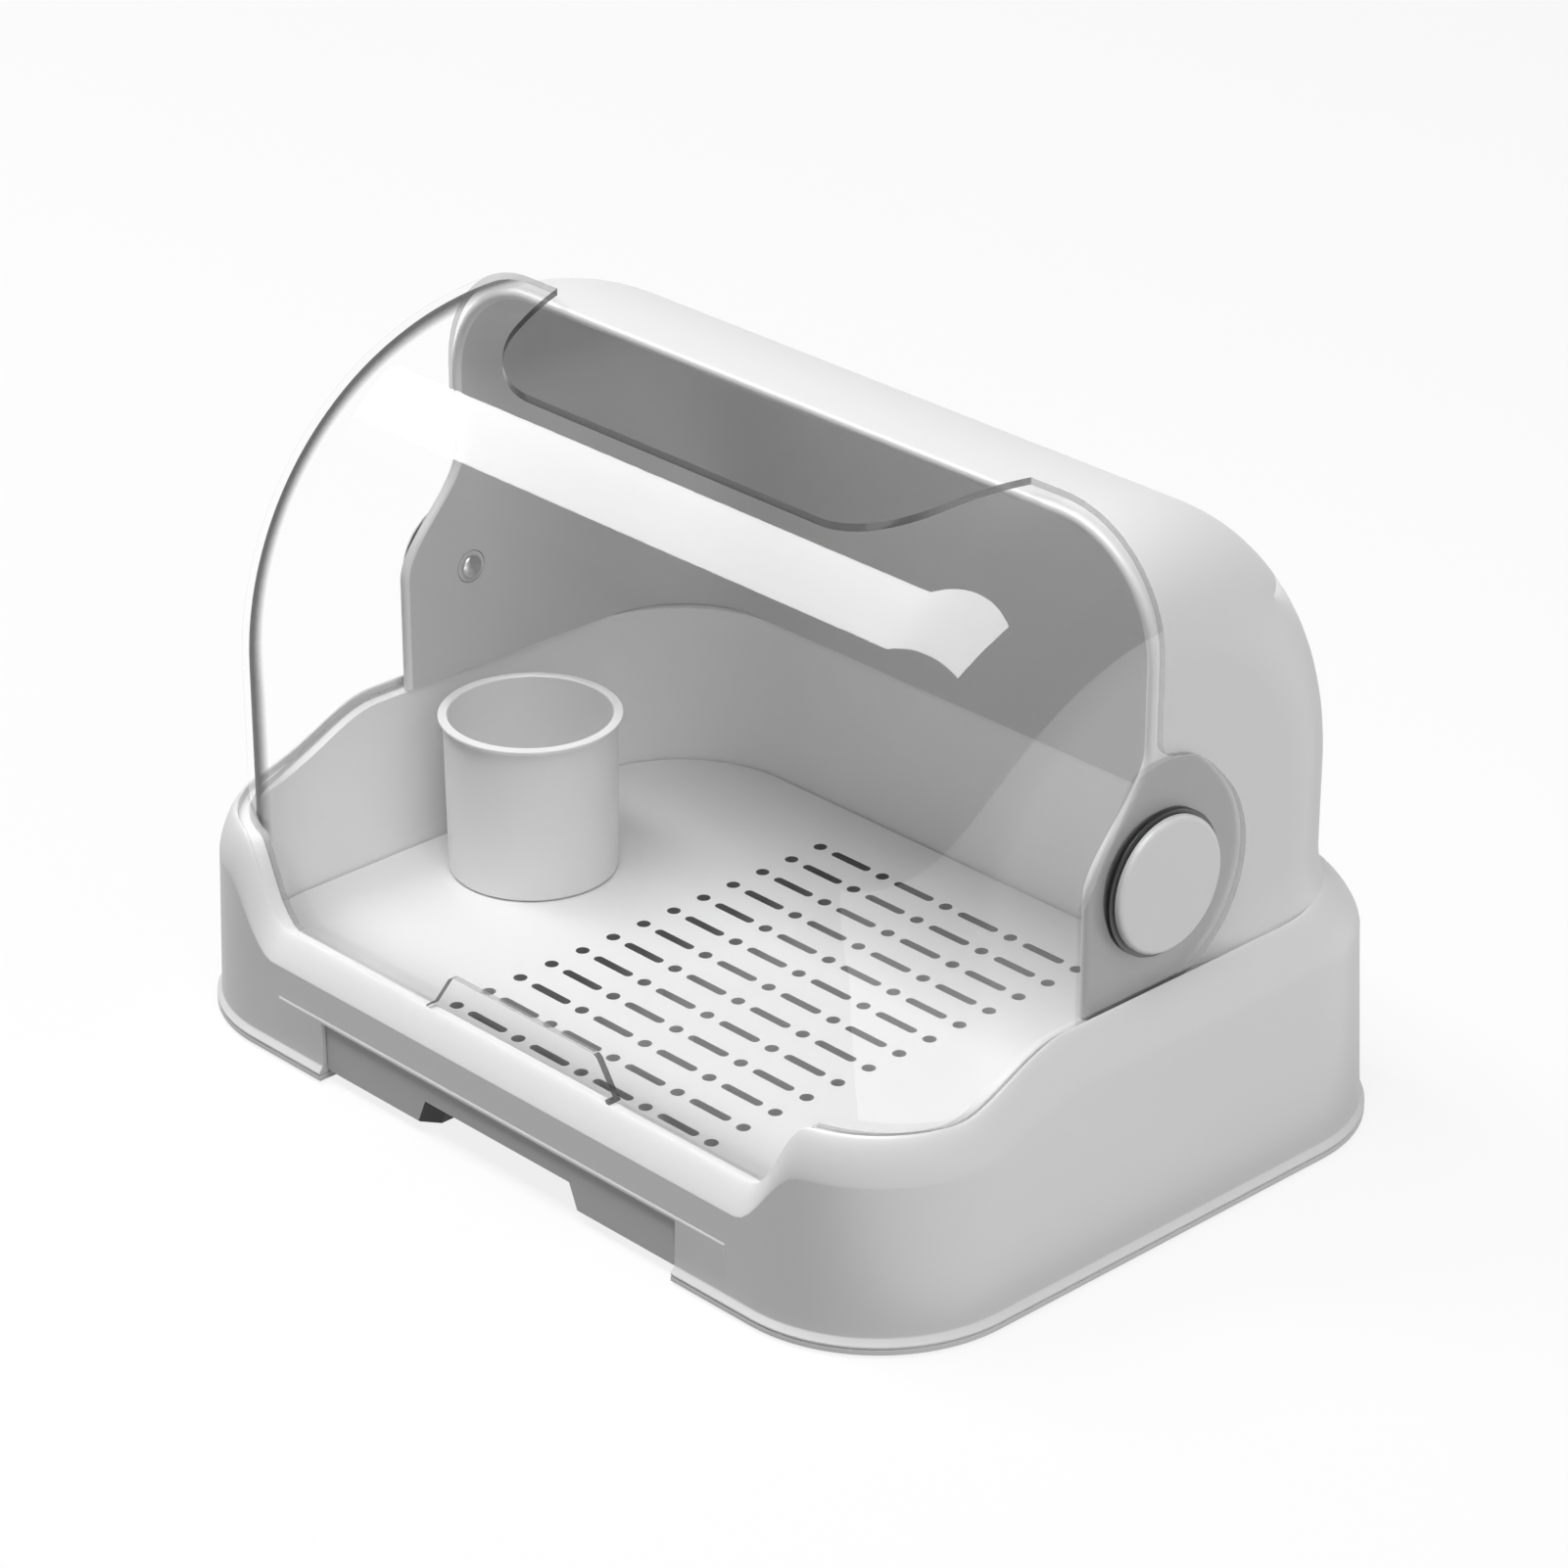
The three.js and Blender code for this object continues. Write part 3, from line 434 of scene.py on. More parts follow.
def rounded_corner(x, z, radius, start, steps=5):
    """Points of a round corner of a profile; start and end are in quarter turns."""
    points = []
    for i in range(steps + 1):
        angle = (start + i / steps) * math.pi / 2
        points.append((x + radius * math.cos(angle), z + radius * math.sin(angle)))
    return points


print("mesh helpers: ready")

# %% [markdown]
# ## Plan of the base
#
# Seen from above, every wall of the base is a rectangle with round corners. One function walks round such a
# loop at stations about 4 mm apart. The crest of the rim dips at the front and climbs along the sides, so
# its height is worked out once for each station.

# %% Plan of the base
BASE_HALF_WIDTH = 182
BASE_HALF_DEPTH = 132
BASE_CORNER_RADIUS = 54
RIM_FRONT, RIM_CORNER, RIM_BACK = 45, 75, 91
RIM_INSET, RIM_INSET_BACK = 7, 17
LEDGE_HALF_WIDTH, LEDGE_FRONT, LEDGE_BACK = 168, 118, 110
LEDGE_RADIUS, LEDGE_RADIUS_BACK = 40, 52
CORNER_STEPS = 26


def steps_between(start, end, count):
    return [start + (end - start) * i / count for i in range(count)]


def plan_loop(half_width, front, back, radius, radius_back):
    straight = half_width - radius
    straight_back = half_width - radius_back
    right = [(x, -front) for x in steps_between(0, straight * 0.8, 6)]
    right += [(x, -front) for x in steps_between(straight * 0.8, straight, 8)]
    for i in range(CORNER_STEPS):
        angle = i / CORNER_STEPS * math.pi / 2
        right.append((straight + radius * math.sin(angle), radius - front - radius * math.cos(angle)))
    side_start, side_end = radius - front, back - radius_back
    middle = side_start + 0.3 * (side_end - side_start)
    right += [(half_width, y) for y in steps_between(side_start, middle, 12)]
    right += [(half_width, y) for y in steps_between(middle, side_end, 8)]
    for i in range(CORNER_STEPS):
        angle = i / CORNER_STEPS * math.pi / 2
        x = straight_back + radius_back * math.cos(angle)
        right.append((x, side_end + radius_back * math.sin(angle)))
    right += [(x, back) for x in steps_between(straight_back, 0, 8)]
    left = [(-x, y) for x, y in reversed(right[1:])]
    return right + [(0, back)] + left


def inset_loop(inset, inset_back):
    radius = BASE_CORNER_RADIUS - inset
    radius_back = radius + 0.6 * (inset_back - inset)
    return plan_loop(
        BASE_HALF_WIDTH - inset, BASE_HALF_DEPTH - inset, BASE_HALF_DEPTH - inset_back, radius, radius_back
    )


def inner_loop(outside):
    return plan_loop(
        LEDGE_HALF_WIDTH + outside,
        LEDGE_FRONT + outside,
        LEDGE_BACK + outside,
        LEDGE_RADIUS + outside,
        LEDGE_RADIUS_BACK + outside,
    )


def climb(value, start, length):
    share = min(max((value - start) / length, 0), 1)
    return share * share * (3 - 2 * share)


def rim_height(x, y):
    from_front = y + BASE_HALF_DEPTH
    at_corner = max(climb(abs(x), 118, 27), climb(from_front, 17, 20))
    along_side = climb(from_front, 40, 57)
    return RIM_FRONT + (RIM_CORNER - RIM_FRONT) * at_corner + (RIM_BACK - RIM_CORNER) * along_side


crest = [rim_height(x, y) for x, y in inset_loop(0, 0)]


def base_ring(loop, height_of):
    return [(x, y, height_of(top)) for (x, y), top in zip(loop, crest)]


print("base plan:", len(crest), "stations")

# %% [markdown]
# ## Base shell
#
# The section of the base flares out a little at its foot, runs up the outer wall, over a wide round shoulder
# to the crest, a small step down to the ledge that carries the hood and the lid, and down the inner wall to
# the seat of the floor. It is lofted in one go, so the shoulder stays even while the crest climbs. The walls
# lean in by a millimetre or two, the draft that lets the shell leave its mould. The raised band round the
# drawer is set on it, and the opening for the drawer is cut from both.

# %% Base shell
SHOULDER_SHARE, SHOULDER_POWER, SHOULDER_POWER_FRONT = 0.21, 1.45, 1.8
FOOT_PROUD, DRAFT_FRONT, DRAFT_BACK = 1.2, 0.8, 2.0
SHELL_FOOT, OUTER_WALL, INNER_WALL = 2.5, 3, 2.5
LEDGE_DROP, SEAT_TOP, SEAT_UNDERSIDE, SEAT_WIDTH = 3, 22, 19.5, 3


def shoulder_ring(angle):
    """One ring of the shoulder: at 0 it ends the wall, at a quarter turn it is the crest."""
    ring = []
    for (x0, y0), (x1, y1), top in zip(inset_loop(0, 0), inset_loop(RIM_INSET, RIM_INSET_BACK), crest):
        draft = DRAFT_FRONT + (DRAFT_BACK - DRAFT_FRONT) * (top - RIM_FRONT) / (RIM_BACK - RIM_FRONT)
        lean = (draft - FOOT_PROUD) / RIM_INSET
        low = 1 - climb(top, RIM_FRONT, RIM_CORNER - RIM_FRONT)
        power = SHOULDER_POWER + (SHOULDER_POWER_FRONT - SHOULDER_POWER) * low
        inward = 1 - (1 - lean) * max(0, math.cos(angle)) ** power
        height = top - SHOULDER_SHARE * top * (1 - math.sin(angle) ** power)
        ring.append((x0 + (x1 - x0) * inward, y0 + (y1 - y0) * inward, height))
    return ring


def base_section():
    rings = []
    for inset, height in ((-3, SHELL_FOOT), (-3, 3.0), (-2.85, 3.25), (-1.45, 5.0), (-FOOT_PROUD, 5.8)):
        rings.append(base_ring(inset_loop(inset, inset), lambda top, z=height: z))
    shoulder = [shoulder_ring(i / 20 * math.pi / 2) for i in range(21)]
    rings.append([(x, y, z - 1.2) for x, y, z in shoulder[0]])
    rings += shoulder
    for inset, drop in ((0.35, 0.1), (0.6, 0.35), (0.7, 0.7), (0.7, LEDGE_DROP)):
        loop = inset_loop(RIM_INSET + inset, RIM_INSET_BACK + inset)
        rings.append(base_ring(loop, lambda top, d=drop: top - d))
    rings += [base_ring(inner_loop(outside), height_of) for outside, height_of in (
        (0.6, lambda top: top - LEDGE_DROP),
        (0.15, lambda top: top - LEDGE_DROP - 0.15),
        (0, lambda top: top - LEDGE_DROP - 0.6),
        (0, lambda top: SEAT_TOP),
        (-SEAT_WIDTH, lambda top: SEAT_TOP),
        (-SEAT_WIDTH, lambda top: SEAT_UNDERSIDE),
        (INNER_WALL, lambda top: SEAT_UNDERSIDE),
        (INNER_WALL, lambda top: top - LEDGE_DROP - INNER_WALL),
    )]
    inside = inset_loop(OUTER_WALL, OUTER_WALL)
    rings.append(base_ring(inside, lambda top: (1 - SHOULDER_SHARE) * top - 4))
    rings.append(base_ring(inside, lambda top: SHELL_FOOT))
    return loft(rings, closed=True)


def band_along_x(name, half, outline):
    rings = [[(-half, y, z) for y, z in outline], [(half, y, z) for y, z in outline]]
    return mend_normals(new_piece(name, *loft(rings, caps=True), white_shell))


OPENING_HALF, OPENING_TOP, OPENING_BACK = 90.5, 22, -128.7
BAND_HALF = 114


def drawer_opening(gap=0):
    """The opening is a hair wider in the band, so that no two cut faces lie in one plane."""
    half, top = OPENING_HALF + gap, OPENING_TOP + gap
    return block("drawer opening", (-half, -140, -1), (half, OPENING_BACK, top))


base_shell = mend_normals(new_piece("base_body", *base_section(), white_shell))
cut(base_shell, drawer_opening())
band = band_along_x("drawer_band", BAND_HALF, [
    (-130.5, 2.5), (-133.1, 2.5), (-133.1, 22.8), (-133.0, 23.3), (-132.7, 23.8), (-130.5, 24.5),
])
cut(band, drawer_opening(0.3))
smooth(band)
finish_piece(band, "base", "white_shell")
smooth(base_shell)
finish_piece(base_shell, "base", "white_shell", "base_shell")

# %% [markdown]
# ## Bottom plate
#
# The base is closed from below by a plate that stands 3 mm out all round, as far as the foot of
# the wall. The plate is cut out under the drawer's front, where the fingers reach in. Its underside has round
# pockets for the feet and sinks for four screws.

# %% Bottom plate
PLATE_THICKNESS, PLATE_PROUD = 2.2, 3
FOOT_POCKET_RADIUS, FOOT_POCKET_DEPTH = 9.3, 1
SCREW_SINK_RADIUS, SCREW_SINK_DEPTH = 3.5, 1.4
FOOT_PLACES = [(x, y) for x in (-133, 133) for y in (-93, 93)]
SCREW_PLACES = [(x, y) for x in (-160.88, 160.88) for y in (-110.88, 110.88)]


def plate_ring(inset, z):
    out = PLATE_PROUD - inset
    half, deep, radius = BASE_HALF_WIDTH + out, BASE_HALF_DEPTH + out, BASE_CORNER_RADIUS + out
    return [(x, y, z) for x, y in plan_loop(half, deep, deep, radius, radius)]


def hole_tool(x, y, radius, low, high):
    profile = [(0, low), (radius, low), (radius, high), (0, high)]
    return turned("hole", profile, 40, (x, y, 0))


bottom_plate = mend_normals(new_piece("base_plate", *loft([
    plate_ring(0.3, 0),
    plate_ring(0, 0.3),
    plate_ring(0, PLATE_THICKNESS - 0.5),
    plate_ring(0.15, PLATE_THICKNESS - 0.15),
    plate_ring(0.5, PLATE_THICKNESS),
], caps=True), white_shell))
cut(bottom_plate, block("plate cut-out", (-OPENING_HALF, -141, -6), (OPENING_HALF, -111, 8.2)))
for x, y in FOOT_PLACES:
    cut(bottom_plate, hole_tool(x, y, FOOT_POCKET_RADIUS, -6, FOOT_POCKET_DEPTH))
for x, y in SCREW_PLACES:
    cut(bottom_plate, hole_tool(x, y, SCREW_SINK_RADIUS, -6, SCREW_SINK_DEPTH))
smooth(bottom_plate)
finish_piece(bottom_plate, "base", "white_shell", "bottom_plate")

# %% [markdown]
# ## Feet and screws
#
# Four feet and four screws are the same piece at four places. Geometry Nodes make one foot and one screw
# head from named sizes and set an instance on each point. The tree ends in Realize Instances and Set
# Material, and the result is turned into a plain mesh.


# %% Geometry Nodes helper
class Tree:
    """A Geometry Nodes tree with named number inputs."""

    def __init__(self, name, sizes):
        self.tree = bpy.data.node_groups.new(name, "GeometryNodeTree")
        interface = self.tree.interface
        interface.new_socket("Geometry", in_out="INPUT", socket_type="NodeSocketGeometry")
        self.inputs = {}
        for label, value in sizes.items():
            kind = "NodeSocketInt" if isinstance(value, int) else "NodeSocketFloat"
            socket = interface.new_socket(label, in_out="INPUT", socket_type=kind)
            self.inputs[label] = (socket.identifier, value)
        interface.new_socket("Geometry", in_out="OUTPUT", socket_type="NodeSocketGeometry")
        self.entry = self.tree.nodes.new("NodeGroupInput")
        self.exit = self.tree.nodes.new("NodeGroupOutput")

    def size(self, label):
        return self.entry.outputs[label]

    def node(self, kind, settings=None, values=None):
        prefix = "" if kind.startswith(("ShaderNode", "FunctionNode")) else "GeometryNode"
        node = self.tree.nodes.new(prefix + kind)
        for name, value in (settings or {}).items():
            setattr(node, name, value)
        for name, value in (values or {}).items():
            if isinstance(value, (list, tuple)) and value and isinstance(value[0], bpy.types.NodeSocket):
                for one in value:
                    self.tree.links.new(one, node.inputs[name])
            elif isinstance(value, bpy.types.NodeSocket):
                self.tree.links.new(value, node.inputs[name])
            else:
                node.inputs[name].default_value = value
        return node

    def maths(self, operation, *values):
        return self.node("ShaderNodeMath", {"operation": operation}, dict(enumerate(values))).outputs[0]

    def points_along(self, axis, count, span):
        """A row of points along an axis, with the middle of the row at zero."""
        start, end = [
            self.node("ShaderNodeCombineXYZ", values={axis: self.maths("MULTIPLY", span, share)}).outputs[0]
            for share in (-0.5, 0.5)
        ]
        values = {"Count": count, "Start Location": start, "Offset": end}
        return self.node("MeshLine", {"mode": "END_POINTS"}, values).outputs[0]

    def copies(self, points, shape):
        return self.node("InstanceOnPoints", values={"Points": points, "Instance": shape}).outputs[0]

    def end(self, geometry, material=None):
        last = self.node("RealizeInstances", values={"Geometry": geometry})
        if material:
            last = self.node("SetMaterial", values={"Geometry": last.outputs[0], "Material": material})
        self.tree.links.new(last.outputs[0], self.exit.inputs[0])

    def run(self, piece):
        modifier = piece.modifiers.new(self.tree.name, "NODES")
        modifier.node_group = self.tree
        for identifier, value in self.inputs.values():
            modifier[identifier] = value
        return evaluated(piece)


print("Geometry Nodes helper: ready")

# %% Feet
foot_tree = Tree("rubber feet", {"Radius": 0.009, "Height": 0.0013, "Edge": 0.0004})
foot_body = foot_tree.node("MeshCylinder", {"fill_type": "NGON"}, {
    "Vertices": 48, "Radius": foot_tree.size("Radius"), "Depth": foot_tree.size("Height"),
})
foot_edge = foot_tree.node("ExtrudeMesh", {"mode": "FACES"}, {
    "Mesh": foot_body.outputs["Mesh"],
    "Selection": foot_body.outputs["Bottom"],
    "Offset Scale": foot_tree.size("Edge"),
})
foot_shape = foot_tree.node("ScaleElements", values={
    "Geometry": foot_edge.outputs["Mesh"], "Selection": foot_edge.outputs["Top"], "Scale": 0.955,
})
foot_tree.end(foot_tree.copies(foot_tree.entry.outputs["Geometry"], foot_shape.outputs[0]), grey_rubber)
FOOT_MIDDLE = 0.05
feet = new_piece("rubber_feet", [(x, y, FOOT_MIDDLE) for x, y in FOOT_PLACES], [])
foot_tree.run(feet)
smooth(feet, 50)
finish_piece(feet, "base", "grey_rubber", *[name for name in nodes if name.startswith("foot_")])

# %% Screws
screw_tree = Tree("plate screws", {"Head Radius": 0.0032, "Head Height": 0.0009, "Cross Width": 0.0008})
screw_head = screw_tree.node("MeshCylinder", {"fill_type": "NGON"}, {
    "Vertices": 32, "Radius": screw_tree.size("Head Radius"), "Depth": screw_tree.size("Head Height"),
})
arms = []
for length_axis, width_axis in ("XY", "YX"):
    arm_size = screw_tree.node("ShaderNodeCombineXYZ", values={
        length_axis: screw_tree.maths("MULTIPLY", screw_tree.size("Head Radius"), 1.25),
        width_axis: screw_tree.size("Cross Width"),
        "Z": 0.001,
    })
    arm = screw_tree.node("MeshCube", values={"Size": arm_size.outputs[0]})
    moved = screw_tree.node("Transform", values={
        "Geometry": arm.outputs[0], "Translation": (0, 0, -0.0006),
    })
    arms.append(moved.outputs[0])
screw_cut = screw_tree.node("MeshBoolean", {"operation": "DIFFERENCE", "solver": "MANIFOLD"}, {
    "Mesh 1": screw_head.outputs["Mesh"], "Mesh 2": arms,
})
screw_shank = screw_tree.node("MeshCylinder", values={"Vertices": 20, "Radius": 0.0011, "Depth": 0.0125})
shank_up = screw_tree.node("Transform", values={
    "Geometry": screw_shank.outputs["Mesh"], "Translation": (0, 0, 0.00675),
})
screw_whole = screw_tree.node("JoinGeometry", values={
    "Geometry": [screw_cut.outputs[0], shank_up.outputs[0]],
})
screw_tree.end(screw_tree.copies(screw_tree.entry.outputs["Geometry"], screw_whole.outputs[0]), steel)
SCREW_MIDDLE = 0.65
screws = new_piece("plate_screws", [(x, y, SCREW_MIDDLE) for x, y in SCREW_PLACES], [])
screw_tree.run(screws)
smooth(screws, 30)
finish_piece(screws, "base", "steel", *[name for name in nodes if name.startswith("plate_screw_")])

# %% [markdown]
# ## Water drawer
#
# The drawer is a flat tub with a front panel, in a darker grey than the shell: painted shade for its shaded
# front and for the tub seen through the drain holes. The middle of the panel is cut away below, so fingers
# can pull
# it from underneath: the recess has slanted ends, which lie in deep shade and are painted near black as
# painted shade. The panel's outer edges are broken by half a millimetre, which draws the light line round it.


# %% Water drawer
def recess_tool(name, grown, above, sections):
    """The recess as a row of sections from front to back, each with its place and its half width."""
    rings = []
    for y, half in sections:
        foot, head = half + grown, half + grown - 4
        rings.append([(x, y, z) for x, z in (
            (-foot, -2.5), (foot, -2.5), (foot, 3.5), (head, 13 + above), (-head, 13 + above), (-foot, 3.5)
        )])
    return mend_normals(new_piece(name, *loft(rings, caps=True), drawer_plastic_painted_shade))


def broken_panel(name, half, low, high, front, back, edge):
    def ring(inset, y):
        return [(-half + inset, y, low + inset), (half - inset, y, low + inset),
                (half - inset, y, high - inset), (-half + inset, y, high - inset)]
    rings = [ring(edge, front), ring(edge * 0.3, front + edge * 0.3), ring(0, front + edge), ring(0, back)]
    return mend_normals(new_piece(name, *loft(rings, caps=True), drawer_plastic_painted_shade))


PANEL_FRONT, PANEL_BACK, PANEL_HALF, PANEL_TOP = -131.6, -129.2, 90, 21.5
TUB_HALF, TUB_BACK, TUB_TOP, TUB_UNDERSIDE, TUB_WALL = 88.5, 92, 19, 3.5, 2
RECESS_BACK, RECESS_HALF, RECESS_HALF_BACK = -109.6, 41, 34.5
drawer = broken_panel("drawer_tub", PANEL_HALF, TUB_UNDERSIDE, PANEL_TOP, PANEL_FRONT, PANEL_BACK, 0.5)
tub = block(
    "tub", (-TUB_HALF, PANEL_BACK - 0.2, TUB_UNDERSIDE), (TUB_HALF, TUB_BACK, TUB_TOP), drawer_plastic_painted_shade
)
water_half = TUB_HALF - TUB_WALL
cut(tub, block(
    "water", (-water_half, PANEL_BACK, TUB_UNDERSIDE + TUB_WALL), (water_half, TUB_BACK - TUB_WALL, 25)
))
hump = recess_tool("hump", TUB_WALL, TUB_WALL, [
    (PANEL_BACK - 0.2, RECESS_HALF), (RECESS_BACK + TUB_WALL, RECESS_HALF),
])
cut(hump, block("below the tub", (-60, -150, -10), (60, -100, TUB_UNDERSIDE)))
join(join(drawer, tub), hump)
cut(drawer, recess_tool("recess", 0, 0, [
    (-139, RECESS_HALF), (PANEL_FRONT, RECESS_HALF),
    (-126.6, RECESS_HALF_BACK), (RECESS_BACK, RECESS_HALF_BACK),
]))


def recess_end(face):
    """Whether a face is one of the recess's two slanted ends, which look at each other."""
    x, y, z = face.center / MILLIMETRE
    looks_inwards = face.normal.x * (-1 if x > 0 else 1) > 0.4
    return looks_inwards and abs(x) < RECESS_HALF + 1 and PANEL_FRONT < y < RECESS_BACK + 0.5 and z < 14.5


# The recess ends get the near-black painted shade.
drawer.data.materials.append(deep_shade)
for face in drawer.data.polygons:
    if recess_end(face):
        face.material_index = len(drawer.data.materials) - 1
smooth(drawer, 30)
finish_piece(drawer, "drawer", "white_shell", "water_drawer")

# %% [markdown]
# ## Floor with drain holes
#
# The floor is a flat sheet with thirteen rows of holes: five round ones with four slots between them. Such a
# pattern follows a rule, so Geometry Nodes make it. One row of cutters is set on a line of points, the row
# is repeated over the depth, and a boolean takes all the cutters from the sheet at once.

# %% Walls of the drain holes
def shaded_walls(name):
    """Painted shade: the walls of the holes beside the cup and at the back are near black, as little light
    reaches them; those in front are a lighter grey.
    """
    finish = Finish(name)
    x, y, _ = finish.axes()
    lit = share_between(x, -0.05, -0.015) * (1 - share_between(y, 0.03, 0.085))
    lit = lit.at_least(1 - share_between(y, -0.08, -0.06))
    speck = finish.node("TexNoise", values={"Vector": finish.place(), "Scale": 900.0}, output="Fac")
    tone = finish.node("Mix", {"data_type": "RGBA"}, {
        0: lit, 6: (0.035, 0.035, 0.035, 1), 7: (0.5, 0.5, 0.5, 1),
    }, output=2)
    shader = finish.node("BsdfPrincipled", values={"Base Color": tone, "Roughness": speck * 0.1 + 0.5})
    return finish.show(shader)


hole_walls_painted_shade = shaded_walls("white_inner_in_holes")
print("walls of the drain holes: ready")

# %% Floor with drain holes
floor_tree = Tree("drain holes", {
    "Rows": 13, "Dots": 5, "Slots": 4, "Row Span": 0.175, "Dot Span": 0.13, "Dot Radius": 0.0025,
    "Slot Length": 0.019, "Slot Width": 0.0036, "Depth": 0.012,
})
size, maths = floor_tree.size, floor_tree.maths
dot = floor_tree.node("MeshCylinder", values={
    "Vertices": 28, "Radius": size("Dot Radius"), "Depth": size("Depth"),
})
slot_end = floor_tree.node("MeshCylinder", values={
    "Vertices": 24, "Radius": maths("MULTIPLY", size("Slot Width"), 0.5), "Depth": size("Depth"),
})
straight_part = maths("SUBTRACT", size("Slot Length"), size("Slot Width"))
two_ends = floor_tree.copies(floor_tree.points_along("X", 2, straight_part), slot_end.outputs["Mesh"])
two_ends_real = floor_tree.node("RealizeInstances", values={"Geometry": two_ends})
slot = floor_tree.node("ConvexHull", values={"Geometry": two_ends_real.outputs[0]})
slot_span = maths("MULTIPLY", maths("DIVIDE", size("Dot Span"), size("Slots")), 3.0)
dots = floor_tree.copies(
    floor_tree.points_along("X", size("Dots"), size("Dot Span")), dot.outputs["Mesh"]
)
slots = floor_tree.copies(floor_tree.points_along("X", size("Slots"), slot_span), slot.outputs[0])
one_row = floor_tree.node("JoinGeometry", values={"Geometry": [dots, slots]})
all_rows = floor_tree.copies(
    floor_tree.points_along("Y", size("Rows"), size("Row Span")), one_row.outputs[0]
)
HOLES_PLACE = (0.001, -0.0065, 0.0248)
in_place = floor_tree.node("Transform", values={
    "Geometry": all_rows, "Translation": HOLES_PLACE,
})
cutters = floor_tree.node("RealizeInstances", values={"Geometry": in_place.outputs[0]})
# The cutters carry the painted shade onto the walls of the holes.
shaded_cutters = floor_tree.node("SetMaterial", values={
    "Geometry": cutters.outputs[0], "Material": hole_walls_painted_shade,
})
perforated = floor_tree.node("MeshBoolean", {"operation": "DIFFERENCE", "solver": "MANIFOLD"}, {
    "Mesh 1": floor_tree.entry.outputs["Geometry"], "Mesh 2": [shaded_cutters.outputs[0]],
})
floor_tree.end(perforated.outputs[0])

FLOOR_LOW, FLOOR_HIGH = 22.3, 25.3


def floor_ring(inset, z):
    return [(x, y, z) for x, y in inner_loop(-0.5 - inset)]


drain_floor = mend_normals(new_piece("drain_floor", *loft([
    floor_ring(0, FLOOR_LOW), floor_ring(0, FLOOR_HIGH - 0.5), floor_ring(0.5, FLOOR_HIGH),
], caps=True), white_inner))
floor_tree.run(drain_floor)
smooth(drain_floor, 30)
finish_piece(drain_floor, "floor", "white_inner", "drain_tray")

# %% [markdown]
# ## Cup
#
# A straight-sided cup for teats and small parts stands in the left half. It is a turned piece, a little
# wider at the top so that it leaves its mould, with a rounded bead round its rim.

# %% Cup
CUP_PLACE = (-126.5, -4, 25.6)
CUP_HEIGHT = 61.5
cup_profile = [(0, 0)]
cup_profile += rounded_corner(29.8, 1.2, 1.2, -1)
cup_profile += [(31.75, CUP_HEIGHT - 2.9), (31.9, CUP_HEIGHT - 2.4), (32.3, CUP_HEIGHT - 2.0)]
cup_profile += rounded_corner(32.6, CUP_HEIGHT - 0.95, 0.9, -0.6, 8)
cup_profile += rounded_corner(30.8, CUP_HEIGHT - 0.95, 0.95, 1, 6)
cup_profile += [(29.4, 4.4), (29.2, 3.6), (28.6, 2.8), (27.8, 2.5), (0, 2.5)]
cup = turned("cup_for_teats", cup_profile, 160, CUP_PLACE, "Z", white_inner)
smooth(cup, 50)
finish_piece(cup, "loose_cup", "white_inner", "cup")

# %% [markdown]
# ## Rounded bodies
#
# Hood and lid share one form: a roof that is drawn along the width and rolls into the sides with a large
# radius. A slice is a chain of points from front to back; slices further out have the chain drawn in, which
# makes the round edge. Each shell is an outer body less an inner one. Because the form is known, its true
# normals are known too, and they are written into the mesh, so no facet shows.

# %% Rounded bodies
PIVOT_Y, PIVOT_HEIGHT = 4, 128.5
FLARE_FOOT, FLARE_RISE, FLARE_START, FLARE_FADE, FLARE_ROWS = 88.3, 19, 26, 26, 11


